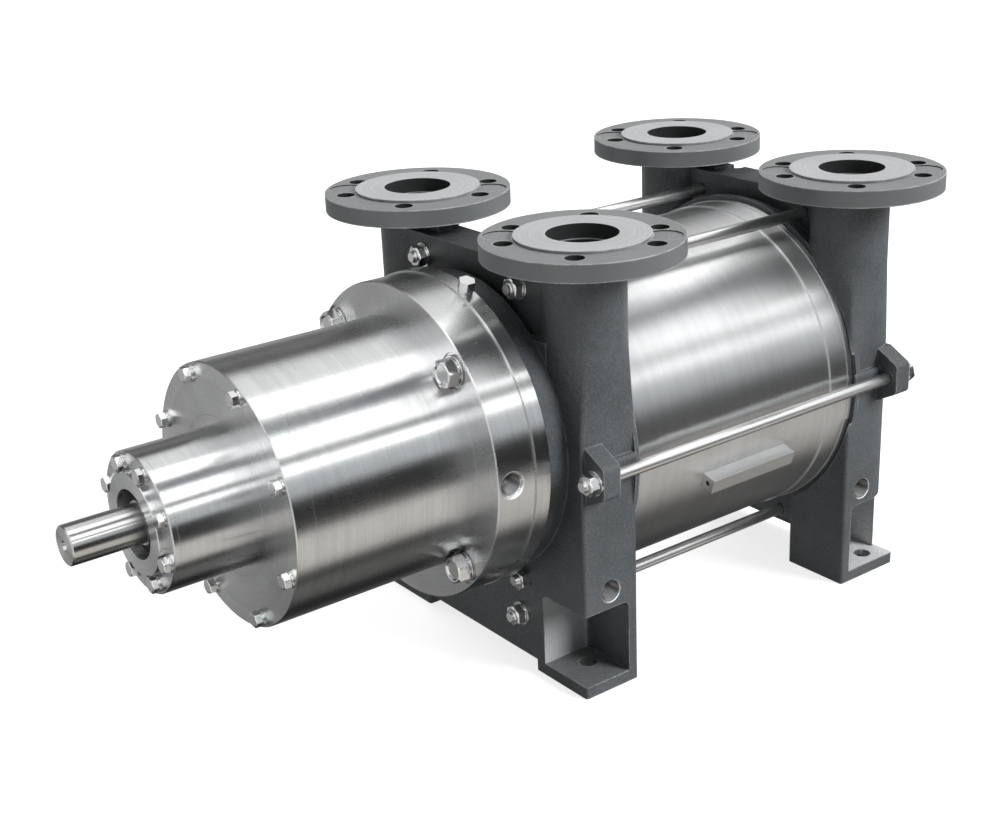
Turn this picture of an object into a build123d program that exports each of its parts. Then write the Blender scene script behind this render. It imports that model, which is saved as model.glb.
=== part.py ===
from build123d import *
import math
import os

# Liquid ring vacuum pump with a magnetic drive, in millimetres.
# X runs along the shaft, with the drive end at -X. Z is up and Z = 0 is the underside of the feet.
# The origin lies below the shaft on the plane of the feet, between the two heads.

# How far a cutting shape, or one that joins another, runs past the face it meets
run_past = 1.0

# Shaft and barrel
shaft_height = 238.0
barrel_drop = 16.0
barrel_start = -143.0
barrel_length = 282.0
barrel_step = 15.0
barrel_wall = 5.0
band_height = 2.0
band_width = 25.0
band_bevel = 1.0

# Port plates and gaskets at the barrel's two ends
port_plate_t = 6.0
port_plate_lip = 3.0
port_plate_gap = 1.0
gasket_t = 1.0
gasket_width = 14.0
suction_port_inner = 62.0
suction_port_outer = 112.0
suction_port_start = 200.0
suction_port_sweep = 85.0
discharge_port_inner = 56.0
discharge_port_outer = 82.0
discharge_port_start = 12.0
discharge_port_sweep = 50.0
flap_hole_radius = 5.0
flap_hole_count = 5
flap_hole_circle = 100.0
flap_hole_pitch = 9.0
flap_t = 1.0
flap_guard_t = 3.0
flap_width = 22.0
flap_guard_edge = 1.0

# Nozzles, with the sizes of a DN 65 PN 16 flange
nozzle_x = 176.0
nozzle_inset = 40.0
nozzle_rise = 13.5
flange_radius = 92.5
flange_t = 19.5
raised_face_radius = 62.0
raised_face_height = 2.5
flange_bolt_circle = 72.5
flange_hole_radius = 9.0
flange_hole_angles = (45.0, 112.5, 157.5, 225.0, 292.5, 337.5)
flange_pair_angles = (135.0, 315.0)
relief_depth = 1.2
relief_radius = 17.0
relief_margin = 0.6
nozzle_mouth_radius = 33.0
nozzle_mouth_depth = 14.0
nozzle_bore_radius = 30.0
neck_radius = 39.4
neck_height = 96.0
neck_fillet = 10.0
bore_below_neck = 20.0

# Cast heads
head_depth_drive = 66.0
head_depth_rear = 62.0
head_wall = 16.0
head_ring_lip = 8.0
head_ring_t = 5.0
drum_lip = 2.0
chamber_margin = 10.0
chamber_inner = 62.0
chamber_rib = 16.0
passage_width = 50.0
passage_wall = 10.0
passage_height = 90.0
passage_lap = 10.0
plate_bottom = 12.0
plate_half_width = 121.0
block_bottom = 46.0
block_lap = 4.0
top_block_start = 165.0
top_block_end = 208.0
top_block_rise = 21.0
lifting_lug_width = 16.0
lifting_lug_length = 26.0
lifting_lug_height = 11.0
lifting_lug_lap = 6.0
barrel_room = 5.0
shaft_hole_gap = 3.0

# Legs and feet; the rear legs have a large round outer corner above their square feet
leg_inner_drive = 151.0
leg_outer_drive = 216.0
leg_inner_rear = 139.5
leg_outer_rear = 221.5
leg_round_rear = 43.5
leg_stand_off = 4.0
leg_width = 77.0
leg_rise = 40.0
leg_corner = 3.0
foot_t = 12.0
foot_hole_x_drive = 182.0
foot_hole_y_drive = 129.0
foot_hole_x_rear = 195.0
foot_hole_y_rear = 148.0
foot_hole_radius = 9.0
pocket_top = 87.0
pocket_strip = 11.5
pocket_wall = 14.0
pocket_outer_wall = 4.5
pocket_corner = 6.0
drain_radius = 10.5
drain_depth = 26.0
drain_chamfer = 1.4
drain_x_drive = 184.0
drain_x_rear = 166.0
drain_z = 105.0

# Tie rods on one circle about the barrel: two above, two below and one on each side lug
rod_radius = 6.0
rod_clearance = 0.6
rod_stand_off = 17.5
rod_top_angle = 65.4
rod_side_angle = 2.0
rod_low_angle = -67.0
rod_over = 4.0
rod_room = 10.0
nut_across = 19.0
nut_t = 10.0
washer_radius = 12.0
washer_t = 2.0
lug_start_drive = 192.0
lug_start_rear = 182.0
lug_t = 20.0
lug_root = 20.0
lug_reach = 12.0
lug_height = 57.0
lug_tip = 30.0
lug_round = 6.0
lug_rib_reach = 5.5
lug_rib_height = 22.0
stay_gap = 12.5
stay_leg_gap = 14.0
cut_over = 60.0

# Drive-end boss, adapter ring and coupling lantern
boss_inset = 6.5
boss_depth_drive = 25.5
adapter_lip = 1.7
adapter_t = 15.5
lantern_flange_lip = 18.8
lantern_flange_t = 41.5
lantern_radius = 121.5
lantern_wall = 17.5
lantern_length = 164.5
lantern_cover_t = 20.0
lantern_spigot = 4.0
lantern_bolt_gap = 13.5
lantern_bolt_count = 4
lantern_bolt_angle = 45.0
lantern_bolt_radius = 8.0
lantern_bolt_across = 24.0
lantern_bolt_head = 13.0
lantern_bolt_washer = 3.0
lantern_bolt_spot = 1.5
lantern_bolt_scallop = 17.0
lantern_scallop_length = 5.0
lantern_bolt_bite = 18.0
cover_bolt_inset = 9.5
cover_bolt_count = 8
cover_bolt_angle = 22.5
cover_bolt_radius = 4.0
cover_bolt_across = 13.0
cover_bolt_head = 7.0
cover_bolt_washer = 1.6
cover_bolt_bite = 14.0
bolt_end_gap = 4.0
head_washer_share = 0.6
turned_chamfer = 1.0
side_port_x = -283.0
side_port_radius = 10.3
side_port_depth = 22.0
side_port_chamfer = 3.0
vent_angle = 108.4
vent_radius = 5.0
vent_depth = 14.0
vent_end_gap = 2.0
vent_collar_t = 3.0
vent_across = 14.0
vent_head = 9.0

# Bearing carrier and its cover
carrier_radius = 64.0
carrier_length = 76.5
carrier_flange_radius = 73.5
carrier_flange_t = 10.0
carrier_tail_radius = 52.0
carrier_lip = 3.0
carrier_land = 4.0
carrier_screw_angle = 0.0
carrier_screw_end = 4.0
bearing_cover_t = 6.0
bearing_ring_radius = 47.0
bearing_ring_height = 5.5
bearing_ring_chamfer = 0.8
bearing_cover_bore = 31.4
bearing_cover_spigot = 7.5
cap_screw_circle = 54.0
cap_screw_count = 8
cap_screw_radius = 4.0
cap_screw_across = 13.0
cap_screw_head = 6.0
cap_screw_washer = 1.2
cap_screw_bite = 13.0
cap_screw_spot = 8.8

# Ball bearings, 40 by 80 by 18
bearing_bore = 20.0
bearing_outer = 40.0
bearing_width = 18.0
bearing_race = 5.0
ball_radius = 4.9
ball_gap = 0.1
ball_count = 8
cage_wall = 1.6
cage_width = 13.0
bearing_span = 64.0

# Drive shaft and outer magnet rotor
shaft_end_radius = 18.0
shaft_stick_out = 62.0
shaft_chamfer = 1.2
shaft_shoulder_radius = 24.0
centre_hole_radius = 5.0
centre_cone_depth = 4.0
centre_drill_radius = 2.75
centre_hole_depth = 12.0
seal_width = 8.0
seal_case_t = 2.5
seal_rim_t = 2.0
seal_lip_t = 3.0
seal_lip_tip = 2.0
seal_lip_inset = 1.0
lock_nut_radius = 28.0
lock_nut_t = 7.0
lock_slot_count = 4
lock_slot_width = 6.0
lock_slot_depth = 3.0
hub_radius = 34.0
hub_length = 34.0
outer_rotor_gap = 12.0
outer_rotor_wall = 12.0
outer_rotor_plate = 12.0
outer_rotor_length = 132.0
outer_magnet_start = 30.0
inner_magnet_start = 4.0
magnet_count = 10
magnet_t = 4.5
magnet_width = 30.0
magnet_length = 84.0
magnet_gap = 1.0

# Containment shell and inner magnet rotor
shell_wall = 2.0
shell_length = 152.0
shell_flange_width = 19.0
shell_flange_t = 5.0
shell_screw_inset = 9.0
shell_screw_count = 6
shell_screw_angle = 30.0
shell_screw_radius = 3.0
shell_screw_across = 10.0
shell_screw_head = 4.0
shell_screw_bite = 9.0
inner_rotor_gap = 3.0
inner_rotor_length = 92.0
inner_rotor_start = 40.0

# Pump shaft, sleeve bearings and impeller
pump_shaft_radius = 20.0
pump_shaft_over = 6.0
sleeve_radius = 24.0
sleeve_length = 36.0
bush_radius = 31.0
running_gap = 0.06
seat_gap = 0.05
impeller_hub_radius = 46.0
impeller_tip_gap = 2.0
impeller_end_gap = 0.8
impeller_web_t = 6.0
blade_count = 12
blade_t = 5.0
blade_sweep = 22.0
blade_lean = 6.6
thrust_gap = 0.4

# Rear boss and closed cover
boss_radius_rear = 104.0
boss_depth_rear = 10.0
rear_cover_inset = 15.0
rear_cover_t = 14.0
rear_cover_chamfer = 1.5
rear_dome_radius = 51.0
rear_dome_height = 6.0
rear_dome_slope = 6.0
rear_bolt_circle = 76.0
rear_bolt_count = 8
rear_bolt_radius = 5.0
rear_bolt_across = 17.0
rear_bolt_head = 8.0
rear_bolt_room = 5.0

# Gauge bar on the barrel's near side
bar_start = -57.5
bar_length = 111.0
bar_height = 15.5
bar_root = 5.0
bar_width = 14.5
bar_angle = 195.4
bar_hole_radius = 2.5
bar_hole_depth = 22.0

# Radii of the drive, worked out from the lantern inwards and outwards
lantern_bore = lantern_radius - lantern_wall
lantern_bolt_circle = lantern_radius + lantern_bolt_gap
lantern_flange_radius = lantern_bolt_circle + lantern_flange_lip
cover_bolt_circle = lantern_radius - cover_bolt_inset
adapter_radius = lantern_flange_radius + adapter_lip
boss_radius_drive = adapter_radius - boss_inset
barrel_radius = boss_radius_drive + barrel_step
outer_rotor_radius = lantern_bore - outer_rotor_gap
outer_rotor_bore = outer_rotor_radius - outer_rotor_wall
outer_magnet_face = math.sqrt(outer_rotor_bore ** 2 - (magnet_width / 2) ** 2) - seat_gap
shell_radius = outer_magnet_face - magnet_t - magnet_gap
shell_flange_radius = shell_radius + shell_flange_width
shell_screw_circle = shell_flange_radius - shell_screw_inset
inner_rotor_radius = shell_radius - shell_wall - inner_rotor_gap
inner_magnet_face = math.sqrt(inner_rotor_radius ** 2 - (magnet_width / 2) ** 2)
inner_magnet_seat = inner_magnet_face - magnet_t
rear_cover_radius = boss_radius_rear - rear_cover_inset

# Stations along X and the other sizes, worked out from those above
barrel_end = barrel_start + barrel_length
barrel_axis_z = shaft_height - barrel_drop
head_inner_drive = -barrel_start + port_plate_t + gasket_t
head_inner_rear = barrel_end + port_plate_t + gasket_t
head_outer_drive = head_inner_drive + head_depth_drive
head_outer_rear = head_inner_rear + head_depth_rear
boss_face_drive = head_outer_drive + boss_depth_drive
boss_face_rear = head_outer_rear + boss_depth_rear
adapter_face = -(boss_face_drive + adapter_t)
lantern_flange_face = adapter_face - lantern_flange_t
lantern_end = lantern_flange_face - lantern_length
lantern_cover_face = lantern_end - lantern_cover_t
carrier_face = lantern_cover_face - carrier_length
bearing_cover_face = carrier_face - bearing_cover_t
bearing_ring_face = bearing_cover_face - bearing_ring_height
shaft_tip = bearing_ring_face - shaft_stick_out
front_bearing_start = carrier_face + bearing_cover_spigot
back_bearing_start = front_bearing_start + bearing_width + bearing_span
back_bearing_end = back_bearing_start + bearing_width
impeller_radius = barrel_radius - barrel_wall - barrel_drop - impeller_tip_gap
port_plate_radius = barrel_radius + port_plate_lip
head_ring_radius = barrel_radius + head_ring_lip
drum_radius = barrel_radius + drum_lip
chamber_outer = barrel_radius - barrel_drop - chamber_margin
rod_circle = barrel_radius + rod_stand_off
rod_top_y = rod_circle * math.cos(math.radians(rod_top_angle))
rod_top_z = barrel_axis_z + rod_circle * math.sin(math.radians(rod_top_angle))
rod_side_y = rod_circle * math.cos(math.radians(rod_side_angle))
rod_side_z = barrel_axis_z + rod_circle * math.sin(math.radians(rod_side_angle))
rod_low_y = rod_circle * math.cos(math.radians(rod_low_angle))
rod_low_z = barrel_axis_z + rod_circle * math.sin(math.radians(rod_low_angle))
leg_side = barrel_radius + leg_stand_off
stay_circle = boss_radius_drive + stay_gap
stay_y = leg_side - leg_width - stay_leg_gap
stay_z = shaft_height - math.sqrt(stay_circle ** 2 - stay_y ** 2)
leg_top = barrel_axis_z + leg_rise
nozzle_y = leg_side - nozzle_inset
top_block_top = rod_top_z + top_block_rise
nozzle_top = top_block_top + nozzle_rise + flange_t
neck_start = nozzle_top - neck_height
rotor_end = adapter_face - shell_flange_t - inner_rotor_start - inner_rotor_length
shell_end = adapter_face - shell_length
shaft_hole_radius = sleeve_radius + shaft_hole_gap
carrier_screw_circle = (carrier_flange_radius + carrier_tail_radius) / 2


def x_ring(x0, x1, outer, inner=0.0, y=0.0, z=shaft_height):
    """A round bar or ring about a line along X, from x0 to x1."""
    face = Circle(outer)
    if inner > 0:
        face = face - Circle(inner)
    return extrude(Plane.YZ.offset(x0) * Pos(y, z) * face, amount=x1 - x0)


def x_hex(x0, x1, across, y, z):
    """A six-sided bar along X, measured across its flats."""
    face = RegularPolygon(across / 2, 6, major_radius=False)
    return extrude(Plane.YZ.offset(x0) * Pos(y, z) * face, amount=x1 - x0)


def x_block(x0, x1, y0, y1, z0, z1):
    """A rectangular block between two corners."""
    middle = ((x0 + x1) / 2, (y0 + y1) / 2, (z0 + z1) / 2)
    return Pos(*middle) * Box(x1 - x0, y1 - y0, z1 - z0)


def turned(points, z=shaft_height):
    """A solid turned about the line along X at height z, from (x, radius) points."""
    face = make_face(Polyline(*[(x, r) for x, r in points], close=True))
    return revolve(Plane.XZ * Pos(0, z) * face, axis=Axis((0, 0, z), (1, 0, 0)))


def around(count, circle, first=0.0, z=shaft_height):
    """The (y, z) centres of evenly spaced places on a circle about the shaft."""
    places = []
    for k in range(count):
        angle = math.radians(first + 360.0 * k / count)
        places.append((circle * math.cos(angle), z + circle * math.sin(angle)))
    return places


def sector(inner, outer, start, sweep):
    """A flat ring sector about the origin, from angle start through sweep degrees."""
    def at(radius, angle):
        return (radius * math.cos(math.radians(angle)), radius * math.sin(math.radians(angle)))
    middle = start + sweep / 2
    end = start + sweep
    edges = [
        ThreePointArc(at(outer, start), at(outer, middle), at(outer, end)),
        Line(at(outer, end), at(inner, end)),
        ThreePointArc(at(inner, end), at(inner, middle), at(inner, start)),
        Line(at(inner, start), at(outer, start)),
    ]
    return make_face(edges)


def x_sector(x0, x1, inner, outer, start, sweep, z=shaft_height):
    """A ring sector about the shaft, drawn out along X."""
    face = sector(inner, outer, start, sweep)
    return extrude(Plane.YZ.offset(x0) * Pos(0, z) * face, amount=x1 - x0)


def flip(shape):
    """The same shape on the other side of the YZ plane."""
    return mirror(shape, about=Plane.YZ)


def both_sides(shape):
    """The shape with its mirror image across the shaft plane."""
    return shape + mirror(shape, about=Plane.XZ)


def group(shapes):
    """Separate solids that share one node."""
    solids = []
    for shape in shapes:
        solids.extend(shape.solids())
    return Compound(children=solids)


def rod_places():
    """The (y, z) centres of the six tie rods."""
    near = [(rod_top_y, rod_top_z), (rod_low_y, rod_low_z), (rod_side_y, rod_side_z)]
    return near + [(-y, z) for y, z in near]


def leg_plan(inner, outer, outer_round):
    """A leg's outline from above, on the +Y side of a head at +X, with its outer corner rounded."""
    middle = Pos((inner + outer) / 2, leg_side - leg_width / 2)
    plan = middle * Rectangle(outer - inner, leg_width)
    corners = sorted(plan.vertices(), key=lambda corner: corner.X + corner.Y)
    plan = fillet(corners[:3], leg_corner)
    outermost = max(plan.vertices(), key=lambda corner: corner.X + corner.Y)
    return fillet(outermost, outer_round)


def leg(inner, outer, outer_round):
    """One leg on the +Y side of a head at +X, swept into the round neck above and on its square foot."""
    plan = leg_plan(inner, outer, outer_round)
    upright = extrude(plan, amount=leg_top)
    foot = extrude(leg_plan(inner, outer, leg_corner), amount=foot_t)
    neck = Plane.XY.offset(neck_start) * Pos(nozzle_x, nozzle_y) * Circle(neck_radius)
    shoulder = loft([Pos(0, 0, leg_top) * plan, neck])
    return upright + foot + shoulder


def pocket(inner, end):
    """The room of one foot bolt on the +Y side, from the leg's inner wall to X = end."""
    y0 = leg_side - leg_width + pocket_wall
    room = x_block(inner + pocket_strip, end, y0, leg_side + cut_over, foot_t, pocket_top)
    corner = room.edges().filter_by(Axis.Z).sort_by(Axis.X)[:2].sort_by(Axis.Y)[0]
    room = fillet(corner, pocket_corner)
    upper = room.edges().filter_by(Axis.Y).sort_by(Axis.Z)[-2:].sort_by(Axis.X)[0]
    return fillet(upper, pocket_corner)


def foot_holes(x, y):
    """The bolt holes in the two feet of a head."""
    return [Pos(x, t * y, foot_t / 2) * Cylinder(foot_hole_radius, 3 * foot_t) for t in (-1, 1)]


def side_hole(x, y, z, t, radius, depth, chamfer):
    """A tapped hole into the plane Y = y from side t, with a cone at its mouth."""
    place = Pos(x, y, z) * Rot(-90 * t, 0, 0)
    cone = Cone(radius, radius + 2 * chamfer, 2 * chamfer)
    return place * (Cylinder(radius, 2 * depth) + cone)


def drains(x):
    """The tapped drain holes above the foot pockets of a head."""
    return [side_hole(x, t * leg_side, drain_z, t, drain_radius, drain_depth, drain_chamfer)
            for t in (-1, 1)]


def nozzle():
    """One nozzle with its flange, still without its bore and bolt holes."""
    z0 = nozzle_top - flange_t
    neck = Pos(nozzle_x, nozzle_y, (neck_start + z0) / 2) * Cylinder(neck_radius, z0 - neck_start)
    face_top = nozzle_top - raised_face_height
    disc = Pos(nozzle_x, nozzle_y, (z0 + face_top) / 2) * Cylinder(flange_radius, face_top - z0)
    raised = Pos(nozzle_x, nozzle_y, (face_top + nozzle_top) / 2) * Cylinder(
        raised_face_radius, raised_face_height)
    shape = neck + disc
    underside = shape.faces().filter_by(Axis.Z).sort_by(Axis.Z)[1]
    return fillet(underside.edges().sort_by(SortBy.RADIUS)[0], neck_fillet) + raised


def nozzle_cuts(s):
    """The bolt holes, shallow reliefs and bore of a nozzle at X side s, for both Y sides."""
    cuts = []
    face = nozzle_top - raised_face_height
    for t in (-1, 1):
        centre = Pos(s * nozzle_x, t * nozzle_y, 0)
        for angle in flange_hole_angles:
            spot = Rot(0, 0, angle) * Pos(flange_bolt_circle, 0, nozzle_top)
            cuts.append(centre * spot * Cylinder(flange_hole_radius, 4 * flange_t))
        for angle in flange_pair_angles:
            spot = Rot(0, 0, angle) * Pos(flange_bolt_circle, 0, face)
            relief = spot * Cylinder(relief_radius, 2 * relief_depth)
            keep = Pos(0, 0, face) * Cylinder(raised_face_radius + relief_margin, 4 * relief_depth)
            cuts.append(centre * (relief - keep))
        depth = nozzle_top - neck_start + bore_below_neck
        cuts.append(centre * Pos(0, 0, nozzle_top) * Cylinder(nozzle_mouth_radius, 2 * nozzle_mouth_depth))
        cuts.append(centre * Pos(0, 0, nozzle_top - depth / 2) * Cylinder(nozzle_bore_radius, depth))
    return cuts


def side_lug(inner, start):
    """The lug and its rib that carry a side tie rod, on the +Y side."""
    y0 = leg_side - lug_root
    y1 = rod_side_y + lug_reach
    base = lug_height / 2
    tip = lug_tip / 2
    outline = Polyline(
        (y0, rod_side_z - base), (leg_side, rod_side_z - base), (y1, rod_side_z - tip),
        (y1, rod_side_z + tip), (leg_side, rod_side_z + base), (y0, rod_side_z + base), close=True)
    lug = extrude(Plane.YZ.offset(start) * make_face(outline), amount=lug_t)
    lug = fillet(lug.edges().filter_by(Axis.X).sort_by(Axis.Y)[-2:], lug_round)
    rib_z = lug_rib_height / 2
    rib = x_block(inner + leg_corner, start + run_past, y0, leg_side + lug_rib_reach,
                  rod_side_z - rib_z, rod_side_z + rib_z)
    rib = fillet(rib.edges().filter_by(Axis.X).sort_by(Axis.Y)[-2:], lug_rib_reach - run_past)
    return lug + rib


def head(inner, depth, leg_inner, leg_outer, outer_round, pocket_end, lug_start, boss, boss_depth):
    """A cast head at +X: legs, necks, nozzles, chambers and the boss on its outer face."""
    outer = inner + depth
    web_y = plate_half_width
    shape = x_block(outer - head_wall, outer, -web_y, web_y, plate_bottom, neck_start)
    block_y = leg_side - leg_width + block_lap
    shape += x_block(inner, outer - head_wall, -block_y, block_y, block_bottom, shaft_height)
    shape += x_ring(inner + head_ring_t, outer - head_wall, drum_radius, z=barrel_axis_z)
    shape += x_ring(inner, inner + head_ring_t, head_ring_radius, z=barrel_axis_z)
    shape += x_block(top_block_start, top_block_end, -web_y, web_y, shaft_height, top_block_top)
    shape += both_sides(leg(leg_inner, leg_outer, outer_round))
    shape += both_sides(nozzle())
    shape += both_sides(side_lug(leg_inner, lug_start))
    shape += x_ring(outer, outer + boss_depth, boss)
    lug_x = (top_block_start + top_block_end) / 2
    lug_y = nozzle_y - neck_radius - lifting_lug_length / 2 + lifting_lug_lap
    shape += x_block(lug_x - lifting_lug_width / 2, lug_x + lifting_lug_width / 2,
                     lug_y - lifting_lug_length / 2, lug_y + lifting_lug_length / 2,
                     top_block_top - run_past, top_block_top + lifting_lug_height)
    # the barrel's end and the port plate stand clear of the legs
    shape -= x_ring(nozzle_x - neck_radius - barrel_room, inner, head_ring_radius, z=barrel_axis_z)
    # two chambers behind the port plate, one for each nozzle
    chamber = x_ring(inner - run_past, outer - head_wall, chamber_outer, chamber_inner)
    chamber -= x_block(inner - 2 * run_past, outer, -chamber_rib / 2, chamber_rib / 2, 0, nozzle_top)
    shape -= chamber
    room = x_block(inner + passage_wall, nozzle_x + passage_width / 2,
                   nozzle_y - nozzle_bore_radius, nozzle_y + nozzle_bore_radius,
                   neck_start - passage_lap - passage_height, neck_start - passage_lap)
    shape -= both_sides(room)
    shape -= both_sides(pocket(leg_inner, pocket_end))
    for y, z in rod_places():
        shape -= x_ring(leg_inner - rod_room, outer + cut_over, rod_radius + rod_clearance, y=y, z=z)
    for y in (-stay_y, stay_y):
        shape -= x_ring(outer - head_wall - run_past, outer + cut_over, rod_radius + seat_gap,
                        y=y, z=stay_z)
    return shape


def drive_end_head():
    """The head on the drive side, with the round boss that carries the lantern."""
    shape = head(head_inner_drive, head_depth_drive, leg_inner_drive, leg_outer_drive, leg_corner,
                 leg_outer_drive + cut_over, lug_start_drive, boss_radius_drive, boss_depth_drive)
    shape = flip(shape)
    for cut in nozzle_cuts(-1) + foot_holes(-foot_hole_x_drive, foot_hole_y_drive) + drains(-drain_x_drive):
        shape -= cut
    shape -= x_ring(-boss_face_drive - run_past, -head_inner_drive + run_past, shaft_hole_radius)
    shape -= x_ring(-boss_face_drive - run_past, -boss_face_drive + sleeve_length, bush_radius + seat_gap)
    for y, z in around(lantern_bolt_count, lantern_bolt_circle, lantern_bolt_angle):
        shape -= x_ring(-boss_face_drive - run_past, -head_outer_drive, lantern_bolt_radius + seat_gap,
                        y=y, z=z)
    return shape.solid()


def rear_end_head():
    """The head on the far side, with the small boss that the closed cover seats on."""
    shape = head(head_inner_rear, head_depth_rear, leg_inner_rear, leg_outer_rear, leg_round_rear,
                 leg_outer_rear - pocket_outer_wall, lug_start_rear, boss_radius_rear, boss_depth_rear)
    for cut in nozzle_cuts(1) + foot_holes(foot_hole_x_rear, foot_hole_y_rear) + drains(drain_x_rear):
        shape -= cut
    shape -= x_ring(head_inner_rear - run_past, boss_face_rear + run_past, shaft_hole_radius)
    shape -= x_ring(boss_face_rear - sleeve_length, boss_face_rear + run_past, bush_radius + seat_gap)
    for y, z in around(rear_bolt_count, rear_bolt_circle, cover_bolt_angle):
        shape -= x_ring(head_outer_rear - rear_bolt_room, boss_face_rear + run_past,
                        rear_bolt_radius + seat_gap, y=y, z=z)
    return shape.solid()


def barrel():
    """The barrel with a raised band at each end."""
    high = barrel_radius + band_height
    low = barrel_radius
    bore = barrel_radius - barrel_wall
    a, b = barrel_start, barrel_end
    return turned([
        (a, bore), (a, high), (a + band_width - band_bevel, high), (a + band_width, low),
        (b - band_width, low), (b - band_width + band_bevel, high), (b, high), (b, bore),
    ], barrel_axis_z)


def gauge_bar():
    """The square bar on the barrel's side, with a tapped hole in its drive end."""
    bar = x_block(bar_start, bar_start + bar_length, barrel_radius - bar_root,
                  barrel_radius + bar_height, -bar_width / 2, bar_width / 2)
    bar = Pos(0, 0, barrel_axis_z) * Rot(bar_angle, 0, 0) * bar
    bar -= x_ring(bar_start - run_past, bar_start + bar_length + run_past, barrel_radius + seat_gap,
                  z=barrel_axis_z)
    angle = math.radians(bar_angle)
    middle = barrel_radius + bar_height / 2
    y = middle * math.cos(angle)
    z = barrel_axis_z + middle * math.sin(angle)
    return bar - x_ring(bar_start - run_past, bar_start + bar_hole_depth, bar_hole_radius, y=y, z=z)


def port_plate(inner_face, s):
    """A port plate whose inner face is at inner_face and whose thickness runs towards side s."""
    x0, x1 = sorted((inner_face, inner_face + s * port_plate_t))
    plate = x_ring(x0, x1, port_plate_radius, z=barrel_axis_z)
    plate -= x_ring(x0 - run_past, x1 + run_past, sleeve_radius + port_plate_gap)
    plate -= x_sector(x0 - run_past, x1 + run_past, suction_port_inner, suction_port_outer,
                      suction_port_start, -suction_port_sweep)
    plate -= x_sector(x0 - run_past, x1 + run_past, discharge_port_inner, discharge_port_outer,
                      discharge_port_start, discharge_port_sweep)
    for y, z in flap_holes():
        plate -= x_ring(x0 - run_past, x1 + run_past, flap_hole_radius, y=y, z=z)
    return plate


def flap_holes():
    """The (y, z) centres of the small discharge holes under the flap."""
    places = []
    first = discharge_port_start + discharge_port_sweep / 2 - flap_hole_pitch * (flap_hole_count - 1) / 2
    for k in range(flap_hole_count):
        angle = math.radians(first + k * flap_hole_pitch)
        y = flap_hole_circle * math.cos(angle)
        z = shaft_height + flap_hole_circle * math.sin(angle)
        places.append((y, z))
    return places


def flap(x0, x1, edge):
    """A curved strip over the small discharge holes, trimmed by edge all round."""
    sweep = flap_hole_pitch * (flap_hole_count + 1) - math.degrees(2 * edge / flap_hole_circle)
    start = discharge_port_start + (discharge_port_sweep - sweep) / 2
    inner = flap_hole_circle - flap_width / 2 + edge
    outer = flap_hole_circle + flap_width / 2 - edge
    return x_sector(min(x0, x1), max(x0, x1), inner, outer, start, sweep)


def gasket(x0, x1):
    """The flat ring between a port plate and its head."""
    return x_ring(x0, x1, port_plate_radius, port_plate_radius - gasket_width, z=barrel_axis_z)


def tie_rods():
    """The six rods that clamp the two heads on the barrel."""
    rods = []
    for y, z in rod_places():
        left, right = rod_faces(y)
        reach = washer_t + nut_t + rod_over
        rods.append(x_ring(left - reach, right + reach, rod_radius, y=y, z=z))
    return group(rods)


def rod_faces(y):
    """The X of the two outer faces that a rod's nuts draw up against."""
    if abs(y) == rod_side_y:
        return -(lug_start_drive + lug_t), lug_start_rear + lug_t
    if abs(y) == rod_top_y:
        return -top_block_end, top_block_end
    return -head_outer_drive, head_outer_rear


def hex_nut(face, s, y, z):
    """A nut with its bore, standing on the plane X = face towards side s."""
    x0, x1 = sorted((face, face + s * nut_t))
    bore = x_ring(x0 - run_past, x1 + run_past, rod_radius + seat_gap, y=y, z=z)
    return x_hex(x0, x1, nut_across, y, z) - bore


def tie_rod_nuts():
    """A nut at each end of each tie rod."""
    nuts = []
    for y, z in rod_places():
        left, right = rod_faces(y)
        nuts.append(hex_nut(left - washer_t, -1, y, z))
        nuts.append(hex_nut(right + washer_t, 1, y, z))
    return group(nuts)


def tie_rod_washers():
    """A washer under each tie rod nut."""
    rings = []
    for y, z in rod_places():
        left, right = rod_faces(y)
        rings.append(x_ring(left - washer_t, left, washer_radius, rod_radius + seat_gap, y=y, z=z))
        rings.append(x_ring(right, right + washer_t, washer_radius, rod_radius + seat_gap, y=y, z=z))
    return group(rings)


def chamber_studs():
    """The short studs with nuts below the bosses of both heads."""
    studs = []
    for y in (-stay_y, stay_y):
        for face, s in ((-head_outer_drive, -1), (head_outer_rear, 1)):
            x0, x1 = sorted((face - s * head_wall, face + s * (nut_t + rod_over)))
            stud = x_ring(x0, x1, rod_radius, y=y, z=stay_z)
            n0, n1 = sorted((face, face + s * nut_t))
            studs.append(stud + x_hex(n0, n1, nut_across, y, stay_z))
    return group(studs)


def adapter_ring():
    """The ring between the head's boss and the lantern, with the hole of the vent plug."""
    shape = x_ring(adapter_face, -boss_face_drive, adapter_radius, shaft_hole_radius)
    for y, z in around(lantern_bolt_count, lantern_bolt_circle, lantern_bolt_angle):
        shape -= x_ring(adapter_face - run_past, -boss_face_drive + run_past,
                        lantern_bolt_radius + rod_clearance, y=y, z=z)
    for y, z in around(shell_screw_count, shell_screw_circle, shell_screw_angle):
        shape -= x_ring(adapter_face - run_past, adapter_face + shell_screw_bite + bolt_end_gap,
                        shell_screw_radius + seat_gap, y=y, z=z)
    return shape - vent_hole()


def vent_line(r0, r1, radius):
    """A round bar along the vent plug's own line, from radius r0 to r1 from the shaft."""
    x = (adapter_face - boss_face_drive) / 2
    bar = Pos(0, 0, (r0 + r1) / 2) * Cylinder(radius, r1 - r0)
    return Pos(x, 0, shaft_height) * Rot(vent_angle - 90, 0, 0) * bar


def vent_hole():
    """The tapped hole of the vent plug."""
    return vent_line(adapter_radius - vent_depth, adapter_radius + run_past, vent_radius + seat_gap)


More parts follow.
